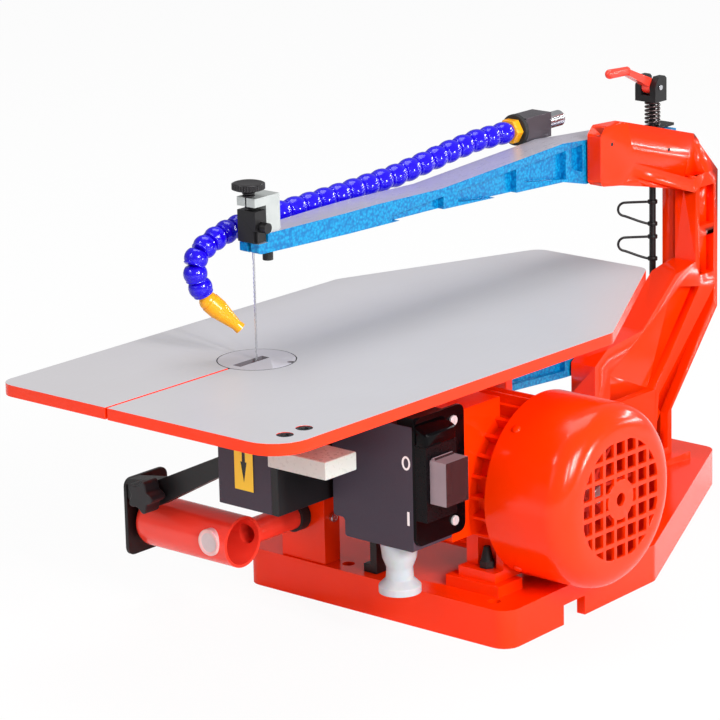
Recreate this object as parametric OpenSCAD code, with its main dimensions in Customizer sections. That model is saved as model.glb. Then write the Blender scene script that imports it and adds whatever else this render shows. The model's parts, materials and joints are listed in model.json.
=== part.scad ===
// Powered bench scroll saw with parallel arms, a tilting table, a fan-cooled motor and an air hose.
// The blade stands on the Z axis and crosses the table top at the origin.
// +Z is up, +Y runs back along the arms to the column, +X is the motor's side.

/* [Table] */
// Height of the table top above the bench
table_h = 192; // [186:1:230]
// Blade to the table's edge on the motor's side
table_near = 150; // [140:1:175]
// Blade to the table's far edge
table_far = 100; // [90:1:120]
// Blade to the table's front edge
table_front = 143; // [120:1:165]
// Table's rear edge to the arm pivots
table_behind = 43; // [36:1:65]
// Blade to the place where the table starts to narrow
table_bend = 195; // [170:1:215]
// Thickness of the table plate
table_t = 8; // [6:0.5:9]
// Radius of the loose insert's seat round the blade
insert_r = 27; // [22:0.5:34]

/* [Base] */
// Blade to the base's near edge
base_near = 158; // [150:1:175]
// Blade to the base's far edge
base_far = 80; // [70:1:100]
// Blade to the base's front edge
base_front = 68; // [60:1:70]
// Arm pivots to the base's rear edge
base_behind = 63; // [50:1:85]
// Height of the base casting
base_t = 27; // [22:1:28]
// Radius of the holes for the bench bolts
bench_hole_r = 4.5; // [3:0.25:6]
// Distance between the bench bolts across the base
bench_bolts_x = 130; // [110:1:140]
// Distance between the bench bolts along the base
bench_bolts_y = 150; // [130:1:165]

/* [Arms] */
// Blade to the two arm pivots
arm_reach = 395; // [385:1:405]
// Height of the upper arm's pivot over the table
upper_pivot_z = 74; // [72:0.5:76]
// Depth of the lower arm's pivot under the table
lower_pivot_z = 72; // [71:0.5:74]
// Width of both arms
arm_w = 26; // [22:0.5:26]
// Radius of the pivot pins
pivot_r = 5; // [4:0.25:7]
// Height of the blade's upper grip over the table
grip_z = 92; // [90:0.5:94]
// Length of the blade
blade_len = 133; // [131:1:135]

/* [Column] */
// Arm pivots to the tension rod behind them
rod_behind = 47; // [45:1:49]
// Arm pivots to the back of the column
column_behind = 79; // [77:1:85]
// Blade plane to the column's near side
column_near = 37; // [35:1:44]
// Thickness of each cheek beside the arms
cheek_t = 12; // [9:0.5:12]

/* [Motor] */
// Blade to the motor's axis
motor_y = 143; // [141:1:146]
// Depth of the motor's axis under the table
motor_z = 97; // [96:0.5:98]
// Outer radius of the fan cover
cover_r = 64; // [61:0.5:65]
// Blade plane to the grille of the fan cover
cover_x1 = 196; // [190:1:206]
// Radius of the motor's shaft
shaft_r = 6; // [5:0.25:8]
// Crank throw, half of the stroke at the crank
crank_r = 5.5; // [4:0.25:6]

/* [Dust tube and air hose] */
// Outer radius of the dust tube
tube_r = 18; // [15:0.5:19]
// Wall of the dust tube
tube_wall = 2; // [1.5:0.25:3]
// Outer radius of the air hose's balls
ball_r = 8.25; // [7:0.25:8.5]
// Bore radius of the air hose
hose_bore_r = 3.2; // [2.5:0.1:4]

/* [Hidden] */
$fn = 48;

// Overrun of every cut
cut = 1;
// Running fit of a pin or shaft, and the gap between pieces that only rest together
fit = 0.05;
rest = 0.3;
orange = [1.0, 0.33, 0.12];
blue = [0.1, 0.5, 0.85];
black = [0.08, 0.08, 0.09];
grey_plastic = [0.25, 0.22, 0.27];
steel = [0.75, 0.75, 0.77];

// Heights
floor_z = -table_h;
base_top = floor_z + base_t;
arm_half = arm_w / 2;
crank_z = -motor_z;
low_pivot = -lower_pivot_z;
low_grip = low_pivot + grip_z - upper_pivot_z;
table_rear = arm_reach - table_behind;
base_rear = arm_reach + base_behind;
rod_y = arm_reach + rod_behind;
column_rear = arm_reach + column_behind;

module box(x0, x1, y0, y1, z0, z1) {
    translate([x0, y0, z0]) cube([x1 - x0, y1 - y0, z1 - z0]);
}
module rod_x(r, x0, x1, y, z) {
    translate([x0, y, z]) rotate([0, 90, 0]) cylinder(r = r, h = x1 - x0);
}
module rod_along_y(r, y0, y1, x, z) {
    translate([x, y0, z]) rotate([-90, 0, 0]) cylinder(r = r, h = y1 - y0);
}
module rod_z(r, z0, z1, x, y) {
    translate([x, y, z0]) cylinder(r = r, h = z1 - z0);
}
// An outline in Y and Z, thick along X
module side_plate(points, x0, x1) {
    translate([x0, 0, 0]) rotate([90, 0, 90]) linear_extrude(x1 - x0) polygon(points);
}
// An outline in X and Z, thick along Y
module front_plate(points, y0, y1) {
    translate([0, y1, 0]) rotate([90, 0, 0]) linear_extrude(y1 - y0) polygon(points);
}
// Two ends given as points, a straight round piece between them
module round_between(p, q, r1, r2) {
    d = q - p;
    translate(p) rotate([0, acos(d[2] / norm(d)), atan2(d[1], d[0])])
        cylinder(r1 = r1, r2 = r2, h = norm(d));
}

function unit(v) = v / norm(v);
// One corner of an outline, rounded by an arc
function arc_corner(a, b, c, r, n) = let(u = unit(a - b), v = unit(c - b), half = acos(u * v) / 2,
    ctr = b + unit(u + v) * r / sin(half), p = b + u * r / tan(half) - ctr, q = b + v * r / tan(half) - ctr,
    a0 = atan2(p[1], p[0]), turn = (atan2(q[1], q[0]) - a0 + 540) % 360 - 180)
    [for (i = [0:n]) ctr + r * [cos(a0 + turn * i / n), sin(a0 + turn * i / n)]];
function rounded(points, r, n = 5) = let(m = len(points)) [for (i = [0:m - 1])
    each arc_corner(points[(i + m - 1) % m], points[i], points[(i + 1) % m], r, n)];
// An outline that turns left, moved inwards by a wall
function inset(points, w) = let(m = len(points)) [for (i = [0:m - 1]) let(b = points[i],
    u = unit(points[(i + m - 1) % m] - b), v = unit(points[(i + 1) % m] - b))
    b + unit(u + v) * w / sin(acos(u * v) / 2)];

// Base casting
base_wall = 7;
base_roof = 8;
base_round = 12;
base_bend = 244;
base_bend_in = 9;
base_far_in = 5;
base_tail_near = 46;
base_tail_far = 30;
boss_r = 11;
bench_edge = 23;
bench_x = base_near - bench_edge - bench_bolts_x / 2;
bench_y = 157;
rib_t = 6;
notch_y = 133;
notch_w = 25;
notch_h = 14;
pad_h = 8;
pad_x0 = 88;
pad_x1 = 134;
pad_w = 26;
foot_bolt_x = 114;
foot_bolt_reach = 42;
stud_r = 3;
base_outline = [[-base_far, base_front], [base_near, base_front], [base_near - base_bend_in, base_bend],
    [base_tail_near, base_rear], [-base_tail_far, base_rear], [-base_far + base_far_in, base_bend]];
module motor_pads(dir) {
    box(pad_x0, pad_x1, motor_y + dir * foot_bolt_reach - pad_w / 2,
        motor_y + dir * foot_bolt_reach + pad_w / 2, base_top - cut, base_top + pad_h);
}
module bench_spots() {
    for (sx = [-1, 1], sy = [-1, 1])
        translate([bench_x + sx * bench_bolts_x / 2, bench_y + sy * bench_bolts_y / 2, 0]) children();
}
module base_casting() color(orange) difference() {
    union() {
        difference() {
            translate([0, 0, floor_z]) linear_extrude(base_t) polygon(rounded(base_outline, base_round));
            translate([0, 0, floor_z - cut]) linear_extrude(base_t - base_roof + cut)
                polygon(rounded(inset(base_outline, base_wall), base_round - base_wall));
        }
        intersection() {
            translate([0, 0, floor_z]) linear_extrude(base_t)
                polygon(rounded(inset(base_outline, base_wall / 2), base_round - base_wall / 2));
            union() {
                for (y = [base_front + bench_bolts_y, base_bend + bench_bolts_y / 2])
                    box(-base_far, base_near, y, y + rib_t, floor_z + rib_t, base_top - cut);
                box(-rib_t / 2, rib_t / 2, base_front, base_rear, floor_z + rib_t, base_top - cut);
            }
        }
        bench_spots() rod_z(boss_r, floor_z, base_top - cut, 0, 0);
        motor_pads(-1);
        motor_pads(1);
    }
    bench_spots() rod_z(bench_hole_r, floor_z - cut, base_top + cut, 0, 0);
    for (dir = [-1, 1])
        rod_z(stud_r + fit, base_top - base_roof - cut, base_top + pad_h + cut,
            foot_bolt_x, motor_y + dir * foot_bolt_reach);
    box(base_near - 2 * base_wall, base_near + cut, notch_y, notch_y + notch_w,
        floor_z - cut, floor_z + notch_h);
}

// Frame casting: column, head with its cheeks, and the leg with the lower jaw
cheek_gap = 2;
cheek_x0 = arm_half + cheek_gap;
cheek_x1 = cheek_x0 + cheek_t;
column_x0 = 4;
column_gap = 51;
column_front = arm_reach + column_gap;
column_top = 48;
column_foot = -58;
jaw_reach = 73;
jaw_front = arm_reach - jaw_reach;
jaw_top = -62;
head_reach = 52;
head_front = arm_reach - head_reach;
head_top = 101;
head_low = 57;
head_round = 3;
head_tail_z = 71;
head_lean = 10.5;
gusset_t = 16;
tail_bar_z = 66;
flare_top = 46;
flare_low = 36;
far_reach = 12;
far_front = arm_reach - far_reach;
far_top = 82;
far_low = 58;
leg_reach = 65;
leg_rest = 21;
leg_front = arm_reach - leg_reach;
leg_back = arm_reach + leg_rest;
leg_knee_z = -126;
rim = 5;
window_deep = 7;
window_step = 3;
boss_pin_r = 13;
pin_hide = 4;
head_outline = [[head_front, head_low + head_round], [head_front + head_round, head_low],
    [head_front + 8 * head_round, head_low - head_round], [arm_reach, head_low - 3 * head_round],
    [column_front, flare_low], [column_rear, flare_low], [column_rear, column_top],
    [column_rear - head_lean, head_tail_z],
    [column_rear - head_lean - 2 * head_round, head_tail_z + 2 * head_round],
    [head_front + 11 * head_round, head_top - head_round / 2], [head_front + 2 * head_round, head_top],
    [head_front, head_top - 2 * head_round]];
// The head widens along this bar until it is flush with the column
flare_outline = [[far_front, far_low + 2 * rim], [far_front, far_low],
    [column_front - window_step, flare_low], [column_rear, flare_low], [column_rear, column_top],
    [column_front - window_step, flare_top]];
flare_plan = [[cheek_x1 - cut, far_front], [cheek_x1, far_front], [column_near, column_front - window_step],
    [column_near, column_rear], [cheek_x1 - cut, column_rear]];
// Behind the arms a low bar joins both cheeks, and a gusset rises from the column
tail_outline = [[far_front, column_top - rim], [column_rear, column_top - rim], [column_rear, column_top],
    [column_rear - head_lean, head_tail_z], [far_front, head_tail_z]];
gusset_outline = [[cheek_x0, flare_top], [column_near, flare_top], [column_near, column_top],
    [cheek_x1, head_tail_z - head_round], [cheek_x0, head_tail_z - head_round]];
leg_outline = [[jaw_front, jaw_top - 2 * rim], [jaw_front, leg_knee_z + 6 * rim],
    [leg_front, leg_knee_z + 4 * rim],
    [leg_front, base_top], [leg_back, base_top], [leg_back, leg_knee_z], [column_rear, column_foot],
    [column_rear, column_foot + 4 * rim], [column_front, column_foot + 8 * rim],
    [column_front - 5 * rim, column_foot + 7 * rim], [arm_reach - 3 * rim, jaw_top + rim],
    [jaw_front + 3 * rim, jaw_top]];
groove_a = [[column_front - 4 * rim, column_foot + 5 * rim], [column_front + rim, column_foot + 4 * rim],
    [arm_reach, leg_knee_z + 4 * rim], [leg_front + 2 * rim, leg_knee_z + 4 * rim],
    [leg_front + 2 * rim, jaw_top - 4 * rim]];
groove_b = [[column_rear - rim, column_foot + 3 * rim], [column_rear - rim, column_foot + rim],
    [leg_back - rim, leg_knee_z - rim / 2], [leg_back - rim, base_top + 2 * rim],
    [arm_reach, base_top + 2 * rim],
    [arm_reach + rim, leg_knee_z + 3 * rim]];
module frame_casting() color(orange) difference() {
    union() {
        box(cheek_x0 + window_step, column_near, column_front, column_rear, column_foot, column_top);
        box(column_x0, column_near, column_front + window_step, column_rear, column_foot, column_top);
        side_plate(leg_outline, cheek_x0, column_near);
        side_plate(rounded(head_outline, head_round, 3), cheek_x0, cheek_x1);
        box(-cheek_x1, -cheek_x0, far_front, rod_y - arm_tail, far_low, far_top - head_round);
        intersection() {
            side_plate(flare_outline, cheek_x1 - cut, column_near);
            translate([0, 0, flare_low]) linear_extrude(head_top - flare_low) polygon(flare_plan);
        }
        intersection() {
            side_plate(tail_outline, -cheek_x1, column_near);
            union() {
                front_plate(gusset_outline, column_rear - gusset_t, column_rear);
                box(-cheek_x1, cheek_x1, column_rear - gusset_t, column_rear, column_top - rim, tail_bar_z);
                box(-cheek_x1, -cheek_x0, far_front, column_rear, far_low, tail_bar_z);
            }
        }
        rod_x(boss_pin_r - head_round, -cheek_x1, -cheek_x0, arm_reach, upper_pivot_z - head_round / 2);
        box(-cheek_x1, -cheek_x0, far_front, leg_back, base_top, low_pivot + boss_pin_r);
        box(-cheek_x1, column_near, arm_reach, leg_back, base_top, leg_knee_z + rim);
        box(-cheek_x1 - rim, column_near + 2 * rim, leg_front - rim, leg_back + 2 * rim,
            base_top, base_top + rim);
    }
    for (z = [column_foot + 5 * rim + window_step, column_foot + 12 * rim + 2 * window_step])
        box(column_near - window_deep, column_near + cut, column_front + rim, column_rear - rim,
            z, z + 6 * rim);
    side_plate(groove_a, column_near - window_deep, column_near + cut);
    side_plate(groove_b, column_near - window_deep, column_near + cut);
    for (z = [upper_pivot_z, low_pivot])
        rod_x(pivot_r + fit, -cheek_x1 - cut, cheek_x1 - pin_hide + rest, arm_reach, z);
}

// Motor
shield_x0 = 42;
shield_t = 8;
body_x1 = 133;
core_r = 48;
fin_r = 57;
fin_count = 24;
fin_t = 2.4;
fin_wall = 3;
foot_x0 = 96;
foot_x1 = 128;
foot_w = 18;
foot_t = 7;
pad_face_y = 67;
pad_face_x0 = 62;
pad_face_x1 = 112;
pad_face_z0 = -124;
pad_face_z1 = -34;
cover_wall = 2.5;
shoulder = 18;
grille_r = 42;
grille_pitch = 12;
grille_hole = 9;
grille_hub_r = 14;
grille_eye_r = 4.5;
fan_x0 = 146;
fan_w = 22;
fan_r = 50;
fan_blades = 8;
fan_hub_r = 14;
shaft_x0 = 18;
shaft_x1 = 178;
disc_x0 = 10;
disc_r = 13;
crank_pin_r = 4;
crank_pin_x0 = -6;
shield_screw_r = 3;
module motor_body() color(orange) difference() {
    union() {
        rod_x(core_r, shield_x0 + shield_t, body_x1, motor_y, crank_z);
        for (i = [0:fin_count - 1])
            translate([shield_x0 + shield_t, motor_y, crank_z]) rotate([i * 360 / fin_count, 0, 0])
                translate([0, -fin_t / 2, 0])
                    cube([body_x1 - shield_x0 - shield_t - fin_wall, fin_t, fin_r - rest]);
        rod_x(fin_r, shield_x0 + shield_t, shield_x0 + shield_t + fin_wall, motor_y, crank_z);
        for (dir = [-1, 1]) let(y = motor_y + dir * foot_bolt_reach) {
            box(foot_x0, foot_x1, y - foot_w / 2, y + foot_w / 2,
                base_top + pad_h, base_top + pad_h + foot_t);
            box(foot_x0, foot_x1, min(y, motor_y + dir * foot_w), max(y, motor_y + dir * foot_w),
                base_top + pad_h, crank_z - core_r / 2);
        }
        box(pad_face_x0, pad_face_x1, pad_face_y, motor_y - core_r / 2, pad_face_z0, pad_face_z1);
    }
    rod_x(shaft_r + fit, shield_x0, body_x1 + cut, motor_y, crank_z);
    for (dir = [-1, 1]) let(y = motor_y + dir * foot_bolt_reach) {
        rod_z(stud_r + fit, base_top, base_top + pad_h + foot_t + cut, foot_bolt_x, y);
        rod_z(nut_r + fin_t, base_top + pad_h + foot_t, base_top + pad_h + foot_t + 4 * nut_t,
            foot_bolt_x, y);
    }
}
module motor_end_shield() color(orange) difference() {
    union() {
        rod_x(core_r, shield_x0 + fin_wall, shield_x0 + shield_t, motor_y, crank_z);
        rod_x(core_r / 2, shield_x0, shield_x0 + shield_t, motor_y, crank_z);
        for (i = [0:3]) translate([shield_x0, motor_y, crank_z]) rotate([45 + i * 90, 0, 0])
            rod_x(shield_screw_r, 0, shield_t, 0, core_r - 2 * shield_screw_r);
    }
    rod_x(shaft_r + fit, shield_x0 - cut, shield_x0 + shield_t + cut, motor_y, crank_z);
}
// Half of the fan cover's section, as radius and place along the motor's axis
function shoulder_arc(r) = [for (a = [0:15:90])
    [cover_r - shoulder + r * cos(a), cover_x1 - shoulder + r * sin(a)]];
cover_section = concat([[cover_r, body_x1 - fin_wall]], shoulder_arc(shoulder),
    [[0, cover_x1], [0, cover_x1 - cover_wall]],
    [for (i = [6:-1:0]) shoulder_arc(shoulder - cover_wall)[i]],
    [[cover_r - cover_wall, body_x1 - fin_wall]]);
module fan_cover() color(orange) difference() {
    translate([0, motor_y, crank_z]) rotate([90, 0, 90]) rotate_extrude($fn = 96) polygon(cover_section);
    translate([cover_x1 - cover_wall - cut, motor_y, crank_z]) rotate([90, 0, 90])
        linear_extrude(cover_wall + 2 * cut) difference() {
            intersection() {
                circle(r = grille_r);
                union() for (i = [-3:3], j = [-3:3]) translate([i, j] * grille_pitch)
                    square(grille_hole, center = true);
            }
            circle(r = grille_hub_r);
        }
    rod_x(grille_eye_r, cover_x1 - cover_wall - cut, cover_x1 + cut, motor_y, crank_z);
}
module motor_fan() color(black) difference() {
    union() {
        rod_x(fan_hub_r, fan_x0, fan_x0 + fan_w, motor_y, crank_z);
        rod_x(fan_r - fin_wall, fan_x0, fan_x0 + fin_wall, motor_y, crank_z);
        for (i = [0:fan_blades - 1])
            translate([fan_x0, motor_y, crank_z]) rotate([i * 360 / fan_blades, 0, 0])
                translate([0, -fin_t / 2, fan_hub_r - cut]) cube([fan_w, fin_t, fan_r - fan_hub_r]);
    }
    rod_x(shaft_r + fit, fan_x0 - cut, fan_x0 + fan_w + cut, motor_y, crank_z);
}
module motor_shaft() color(steel) rod_x(shaft_r, shaft_x0 - disc_x0 / 2, shaft_x1, motor_y, crank_z);
module eccentric() color(steel) difference() {
    union() {
        rod_x(disc_r, disc_x0, shaft_x0 + disc_x0 / 2, motor_y, crank_z);
        rod_x(crank_pin_r, crank_pin_x0, disc_x0 + cut, motor_y + crank_r, crank_z);
    }
    rod_x(shaft_r + fit, shaft_x0 - disc_x0 / 2 - fit, shaft_x0 + disc_x0, motor_y, crank_z);
}
nut_t = 5;
nut_r = 5.5;
cap_top_r = 2.2;
module motor_nuts() color(black) for (dir = [-1, 1]) let(y = motor_y + dir * foot_bolt_reach) {
    rod_z(stud_r, base_top - base_roof, base_top + pad_h + foot_t + nut_t, foot_bolt_x, y);
    translate([foot_bolt_x, y, base_top + pad_h + foot_t]) cylinder(r = nut_r, h = nut_t, $fn = 6);
    translate([foot_bolt_x, y, base_top + pad_h + foot_t + nut_t - cut])
        cylinder(r1 = nut_r * cos(30), r2 = cap_top_r, h = 2 * nut_t + cut);
}

// Switch on the motor's front pad
housing_x0 = 41;
housing_y0 = 27;
housing_z0 = -121;
housing_step_x = 10;
housing_step_z = 13;
housing_round = 2;
flange_t = 2.5;
flange_y1 = 78;
flange_z0 = -117;
flange_z1 = -28;
flange_round = 6;
panel_y1 = 58;
panel_z0 = -98;
panel_z1 = -46;
panel_t = 9.5;
rocker_gap = 0.4;
rocker_y0 = 34;
rocker_y1 = 49;
rocker_half = 12;
rocker_z = -70;
rocker_deep = 8;
rocker_rise = 2.5;
rocker_pin_r = 1.5;
cover_y0 = 30;
cover_y1 = 53;
cover_z0 = -85;
cover_z1 = -55;
flap_deep = 14;
flap_wall = 1.5;
hinge_r = 1.6;
screw_r = 3.4;
screw_head = 1.6;
panel_x1 = pad_face_x1 + flange_t + panel_t;
housing_outline = [[housing_x0, pad_face_z1], [housing_x0, housing_z0 + housing_step_z],
    [housing_x0 + housing_step_x, housing_z0 + housing_step_z], [housing_x0 + housing_step_x, housing_z0],
    [pad_face_x1, housing_z0], [pad_face_x1, pad_face_z1]];
boot_x = 88;
boot_y = 40;
boot_r = 14.5;
boot_waist_r = 9;
boot_neck_r = 13;
boot_len = 35;
boot_wall = 2;
module switch_housing() color(grey_plastic) difference() {
    front_plate(rounded(housing_outline, housing_round, 2), housing_y0, pad_face_y);
    rod_z(boot_waist_r - boot_wall, housing_z0 - cut, housing_z0 + housing_step_z, boot_x, boot_y);
}
module switch_flange() color(black) {
    side_plate(rounded([[housing_y0, flange_z0], [flange_y1, flange_z0], [flange_y1, flange_z1],
        [housing_y0, flange_z1]], flange_round), pad_face_x1, pad_face_x1 + flange_t);
    box(pad_face_x1 - housing_step_z, pad_face_x1 + cut, housing_y0, panel_y1, pad_face_z1, flange_z1);
}
module switch_panel() color(grey_plastic) difference() {
    box(pad_face_x1 + flange_t, panel_x1, housing_y0, panel_y1, panel_z0, panel_z1);
    box(panel_x1 - rocker_deep, panel_x1 + cut, rocker_y0 - rocker_gap, rocker_y1 + rocker_gap,
        rocker_z - rocker_half - rocker_gap, rocker_z + rocker_half + rocker_gap);
    rod_along_y(rocker_pin_r + fit, rocker_y0 - 3 * rocker_pin_r, rocker_y1 + 3 * rocker_pin_r,
        panel_x1 - rocker_deep / 2, rocker_z);
}
rocker_pivot_x = panel_x1 - rocker_deep / 2;
module switch_rocker() color(black) {
    front_plate([[rocker_pivot_x - rocker_deep / 4, rocker_z - rocker_half / 2],
        [rocker_pivot_x + rocker_deep / 4, rocker_z - rocker_half + rocker_rise / 2],
        [panel_x1 + rocker_rise, rocker_z - rocker_half + rocker_rise / 2],
        [panel_x1 + rocker_rise / 3, rocker_z],
        [panel_x1 + rocker_rise, rocker_z + rocker_half - rocker_rise / 2],
        [rocker_pivot_x + rocker_deep / 4, rocker_z + rocker_half - rocker_rise / 2],
        [rocker_pivot_x - rocker_deep / 4, rocker_z + rocker_half / 2]], rocker_y0, rocker_y1);
    rod_along_y(rocker_pin_r, rocker_y0 - 2 * rocker_pin_r, rocker_y1 + 2 * rocker_pin_r,
        rocker_pivot_x, rocker_z);
}
flap_x0 = panel_x1 + rest;
module switch_cover() color([0.6, 0.5, 0.5, 0.6]) difference() {
    union() {
        box(flap_x0, flap_x0 + flap_deep, cover_y0, cover_y1, cover_z0, cover_z1);
        rod_along_y(hinge_r, cover_y0 + hinge_r, cover_y1 - hinge_r, flap_x0 + hinge_r, cover_z1);
    }
    box(flap_x0 - cut, flap_x0 + flap_deep - flap_wall, cover_y0 + flap_wall, cover_y1 - flap_wall,
        cover_z0 + flap_wall, cover_z1 - flap_wall - hinge_r / 2);
}
screw_y = flange_y1 - 2 * flange_round;
module switch_screws() color(steel)
    for (z = [flange_z0 + 1.6 * flange_round, flange_z1 - 1.6 * flange_round]) difference() {
        rod_x(screw_r, pad_face_x1 + flange_t, pad_face_x1 + flange_t + screw_head, screw_y, z);
        box(pad_face_x1 + flange_t + screw_head / 2, pad_face_x1 + flange_t + screw_head + cut,
            screw_y - screw_head / 4, screw_y + screw_head / 4, z - screw_r, z + screw_r);
    }
// The boot's profile as radii against depth below the housing, taken as shares of its length
boot_neck_share = 0.4;
boot_shares = [[0, 1], [0.3, 0.9], [0.5, 0.62], [0.72, 0.66], [0.86, 1], [1, 1]];
function boot_radius(s) = s[0] < boot_neck_share ? boot_neck_r * s[1] : boot_r * s[1];
module cable_boot() color([0.9, 0.92, 0.93]) difference() {
    translate([boot_x, boot_y, housing_z0]) rotate_extrude()
        polygon(concat([[0, 0]], [for (s = boot_shares) [boot_radius(s), -s[0] * boot_len]],
            [[0, -boot_len]]));
    rod_z(boot_waist_r - boot_wall, housing_z0 - boot_len - cut, housing_z0 + cut, boot_x, boot_y);
}

// Support arm, guard and the small box beside it
support_x0 = 30;
support_t = 6;
support_z0 = -98;
support_z1 = -52;
support_post = 26;
guard_x0 = -18;
guard_y0 = -22;
guard_y1 = 12;
guard_z1 = -42;
guard_wall = 3;
label_w = 17;
label_h = 40;
label_t = 0.5;
box_x0 = 32;
box_x1 = 83.5;
box_y0 = -27;
box_y1 = 4;
box_z0 = -62.5;
box_z1 = -50;
guard_x1 = support_x0;
post_y1 = base_front + pad_h + support_post;
module support_arm() color(black) {
    box(support_x0, support_x0 + support_t, guard_y0, post_y1, support_z0, support_z1);
    box(support_x0, support_x0 + support_t, post_y1 - support_post, post_y1, base_top, support_z0 + cut);
    box(support_x0 - support_t, support_x0 + support_t, post_y1 - support_post, post_y1,
        base_top, base_top + support_t);
}
module guard_cover() color(grey_plastic) {
    box(guard_x0, guard_x1, guard_y0, guard_y0 + guard_wall, support_z0, guard_z1);
    box(guard_x0, guard_x0 + guard_wall, guard_y0, guard_y1, support_z0, guard_z1);
    box(guard_x1 - guard_wall, guard_x1, guard_y0, guard_y1, support_z0, guard_z1);
}
label_x = (guard_x0 + guard_x1) / 2;
label_z1 = guard_z1 - guard_wall;
arrow_w = label_w / 3;
module arrow_label() color([1, 0.85, 0.1]) difference() {
    box(label_x - label_w / 2, label_x + label_w / 2, guard_y0 - label_t, guard_y0,
        label_z1 - label_h, label_z1);
    front_plate([[label_x - arrow_w / 4, label_z1 - arrow_w], [label_x - arrow_w / 4, label_z1 - label_h / 2],
        [label_x - arrow_w / 2, label_z1 - label_h / 2], [label_x, label_z1 - label_h + arrow_w],
        [label_x + arrow_w / 2, label_z1 - label_h / 2], [label_x + arrow_w / 4, label_z1 - label_h / 2],
        [label_x + arrow_w / 4, label_z1 - arrow_w]], guard_y0 - label_t - cut, guard_y0 - label_t / 2);
}
// The box hooks round the front edge of the support arm
module blade_box() color([0.93, 0.95, 0.93]) {
    box(support_x0 + support_t, box_x1, box_y0, box_y1, box_z0, box_z1);
    box(box_x0, support_x0 + support_t + cut, box_y0, guard_y0, box_z0, box_z1);
}

// Tilt: quadrants under the table ride in a saddle in front and a trunnion behind
quad_front_r = 44;
quad_rear_r = 34;
quad_t = 7;
quad_ring = 10;
quad_front_y = 16;
quad_rear_y = 215;
saddle_x0 = -16;
saddle_z0 = -51.5;
saddle_ear_z = -40;
trunnion_z0 = -43;
trunnion_x1 = 40;
trunnion_x0 = 28;
module tilt_saddle() color(black) difference() {
    union() {
        box(saddle_x0, support_x0 + support_t, quad_front_y - rest, quad_front_y + quad_t + rest,
            saddle_z0, saddle_ear_z);
        box(support_x0, support_x0 + support_t, quad_front_y, quad_front_y + quad_t,
            support_z1, saddle_ear_z + quad_ring);
    }
    rod_along_y(quad_front_r + rest, quad_front_y - quad_t, quad_front_y + 2 * quad_t, 0, 0);
    box(support_x0 - cut, support_x0 + support_t + cut, quad_front_y - quad_t, quad_front_y + 2 * quad_t,
        saddle_z0 - cut, support_z1);
}
module rear_trunnion() color(orange) difference() {
    union() {
        box(saddle_x0 + rim, trunnion_x1, quad_rear_y - rest, quad_rear_y + quad_t + rest,
            trunnion_z0, trunnion_z0 + 3 * rim);
        box(trunnion_x0, trunnion_x1, quad_rear_y - rest, quad_rear_y + quad_t + rest,
            base_top, trunnion_z0 + cut);
        box(trunnion_x0 - rim, trunnion_x1 + rim, quad_rear_y - rim, quad_rear_y + quad_t + rim,
            base_top, base_top + rim);
    }
    rod_along_y(quad_rear_r + rest, quad_rear_y - quad_t, quad_rear_y + 2 * quad_t, 0, 0);
}
module quadrant(r, y) intersection() {
    difference() {
        rod_along_y(r, y, y + quad_t, 0, 0);
        rod_along_y(r - quad_ring, y - cut, y + quad_t + cut, 0, 0);
    }
    box(-r - cut, r + cut, y - cut, y + quad_t + cut, -r - cut, -table_t);
}
module table_quadrants() color(orange) {
    quadrant(quad_front_r, quad_front_y);
    quadrant(quad_rear_r, quad_rear_y);
}
bar_y0 = -20;
bar_y1 = -8;
plate_x = -107;
plate_t = 3;
plate_y0 = -21;
plate_y1 = 20;
plate_z0 = -155;
plate_z1 = -99;
bar_x = -78;
bar_h = 14;
bar_right_z = -66;
knob_r = 12;
knob_lobe_r = 4.5;
knob_lobes = 5;
knob_t = 14;
knob_x = -80;
knob_z = -103;
stud_gap = 2;
module tilt_bar() color(black) difference() {
    front_plate([[guard_x0, bar_right_z], [bar_x, plate_z1 + bar_h / 3], [plate_x, plate_z1],
        [plate_x, plate_z1 - bar_h],
        [bar_x, plate_z1 - bar_h], [guard_x0, bar_right_z - bar_h]], bar_y0, bar_y1);
    rod_along_y(stud_r + fit, bar_y0 - cut, bar_y1 + cut, knob_x, knob_z);
}
module end_plate() color(black)
    side_plate(rounded([[plate_y0, plate_z0], [plate_y1, plate_z0], [plate_y1, plate_z1],
        [plate_y0, plate_z1]], flange_round), plate_x - plate_t, plate_x);
module tilt_knob() color(black) {
    rod_along_y(stud_r, bar_y0 - stud_gap - cut, bar_y1, knob_x, knob_z);
    rod_along_y(knob_r - knob_lobe_r, bar_y0 - stud_gap - knob_t, bar_y0 - rest, knob_x, knob_z);
    for (i = [0:knob_lobes - 1])
        rod_along_y(knob_lobe_r, bar_y0 - stud_gap - knob_t, bar_y0 - stud_gap,
            knob_x + (knob_r - knob_lobe_r) * sin(i * 360 / knob_lobes),
            knob_z + (knob_r - knob_lobe_r) * cos(i * 360 / knob_lobes));
}

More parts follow.
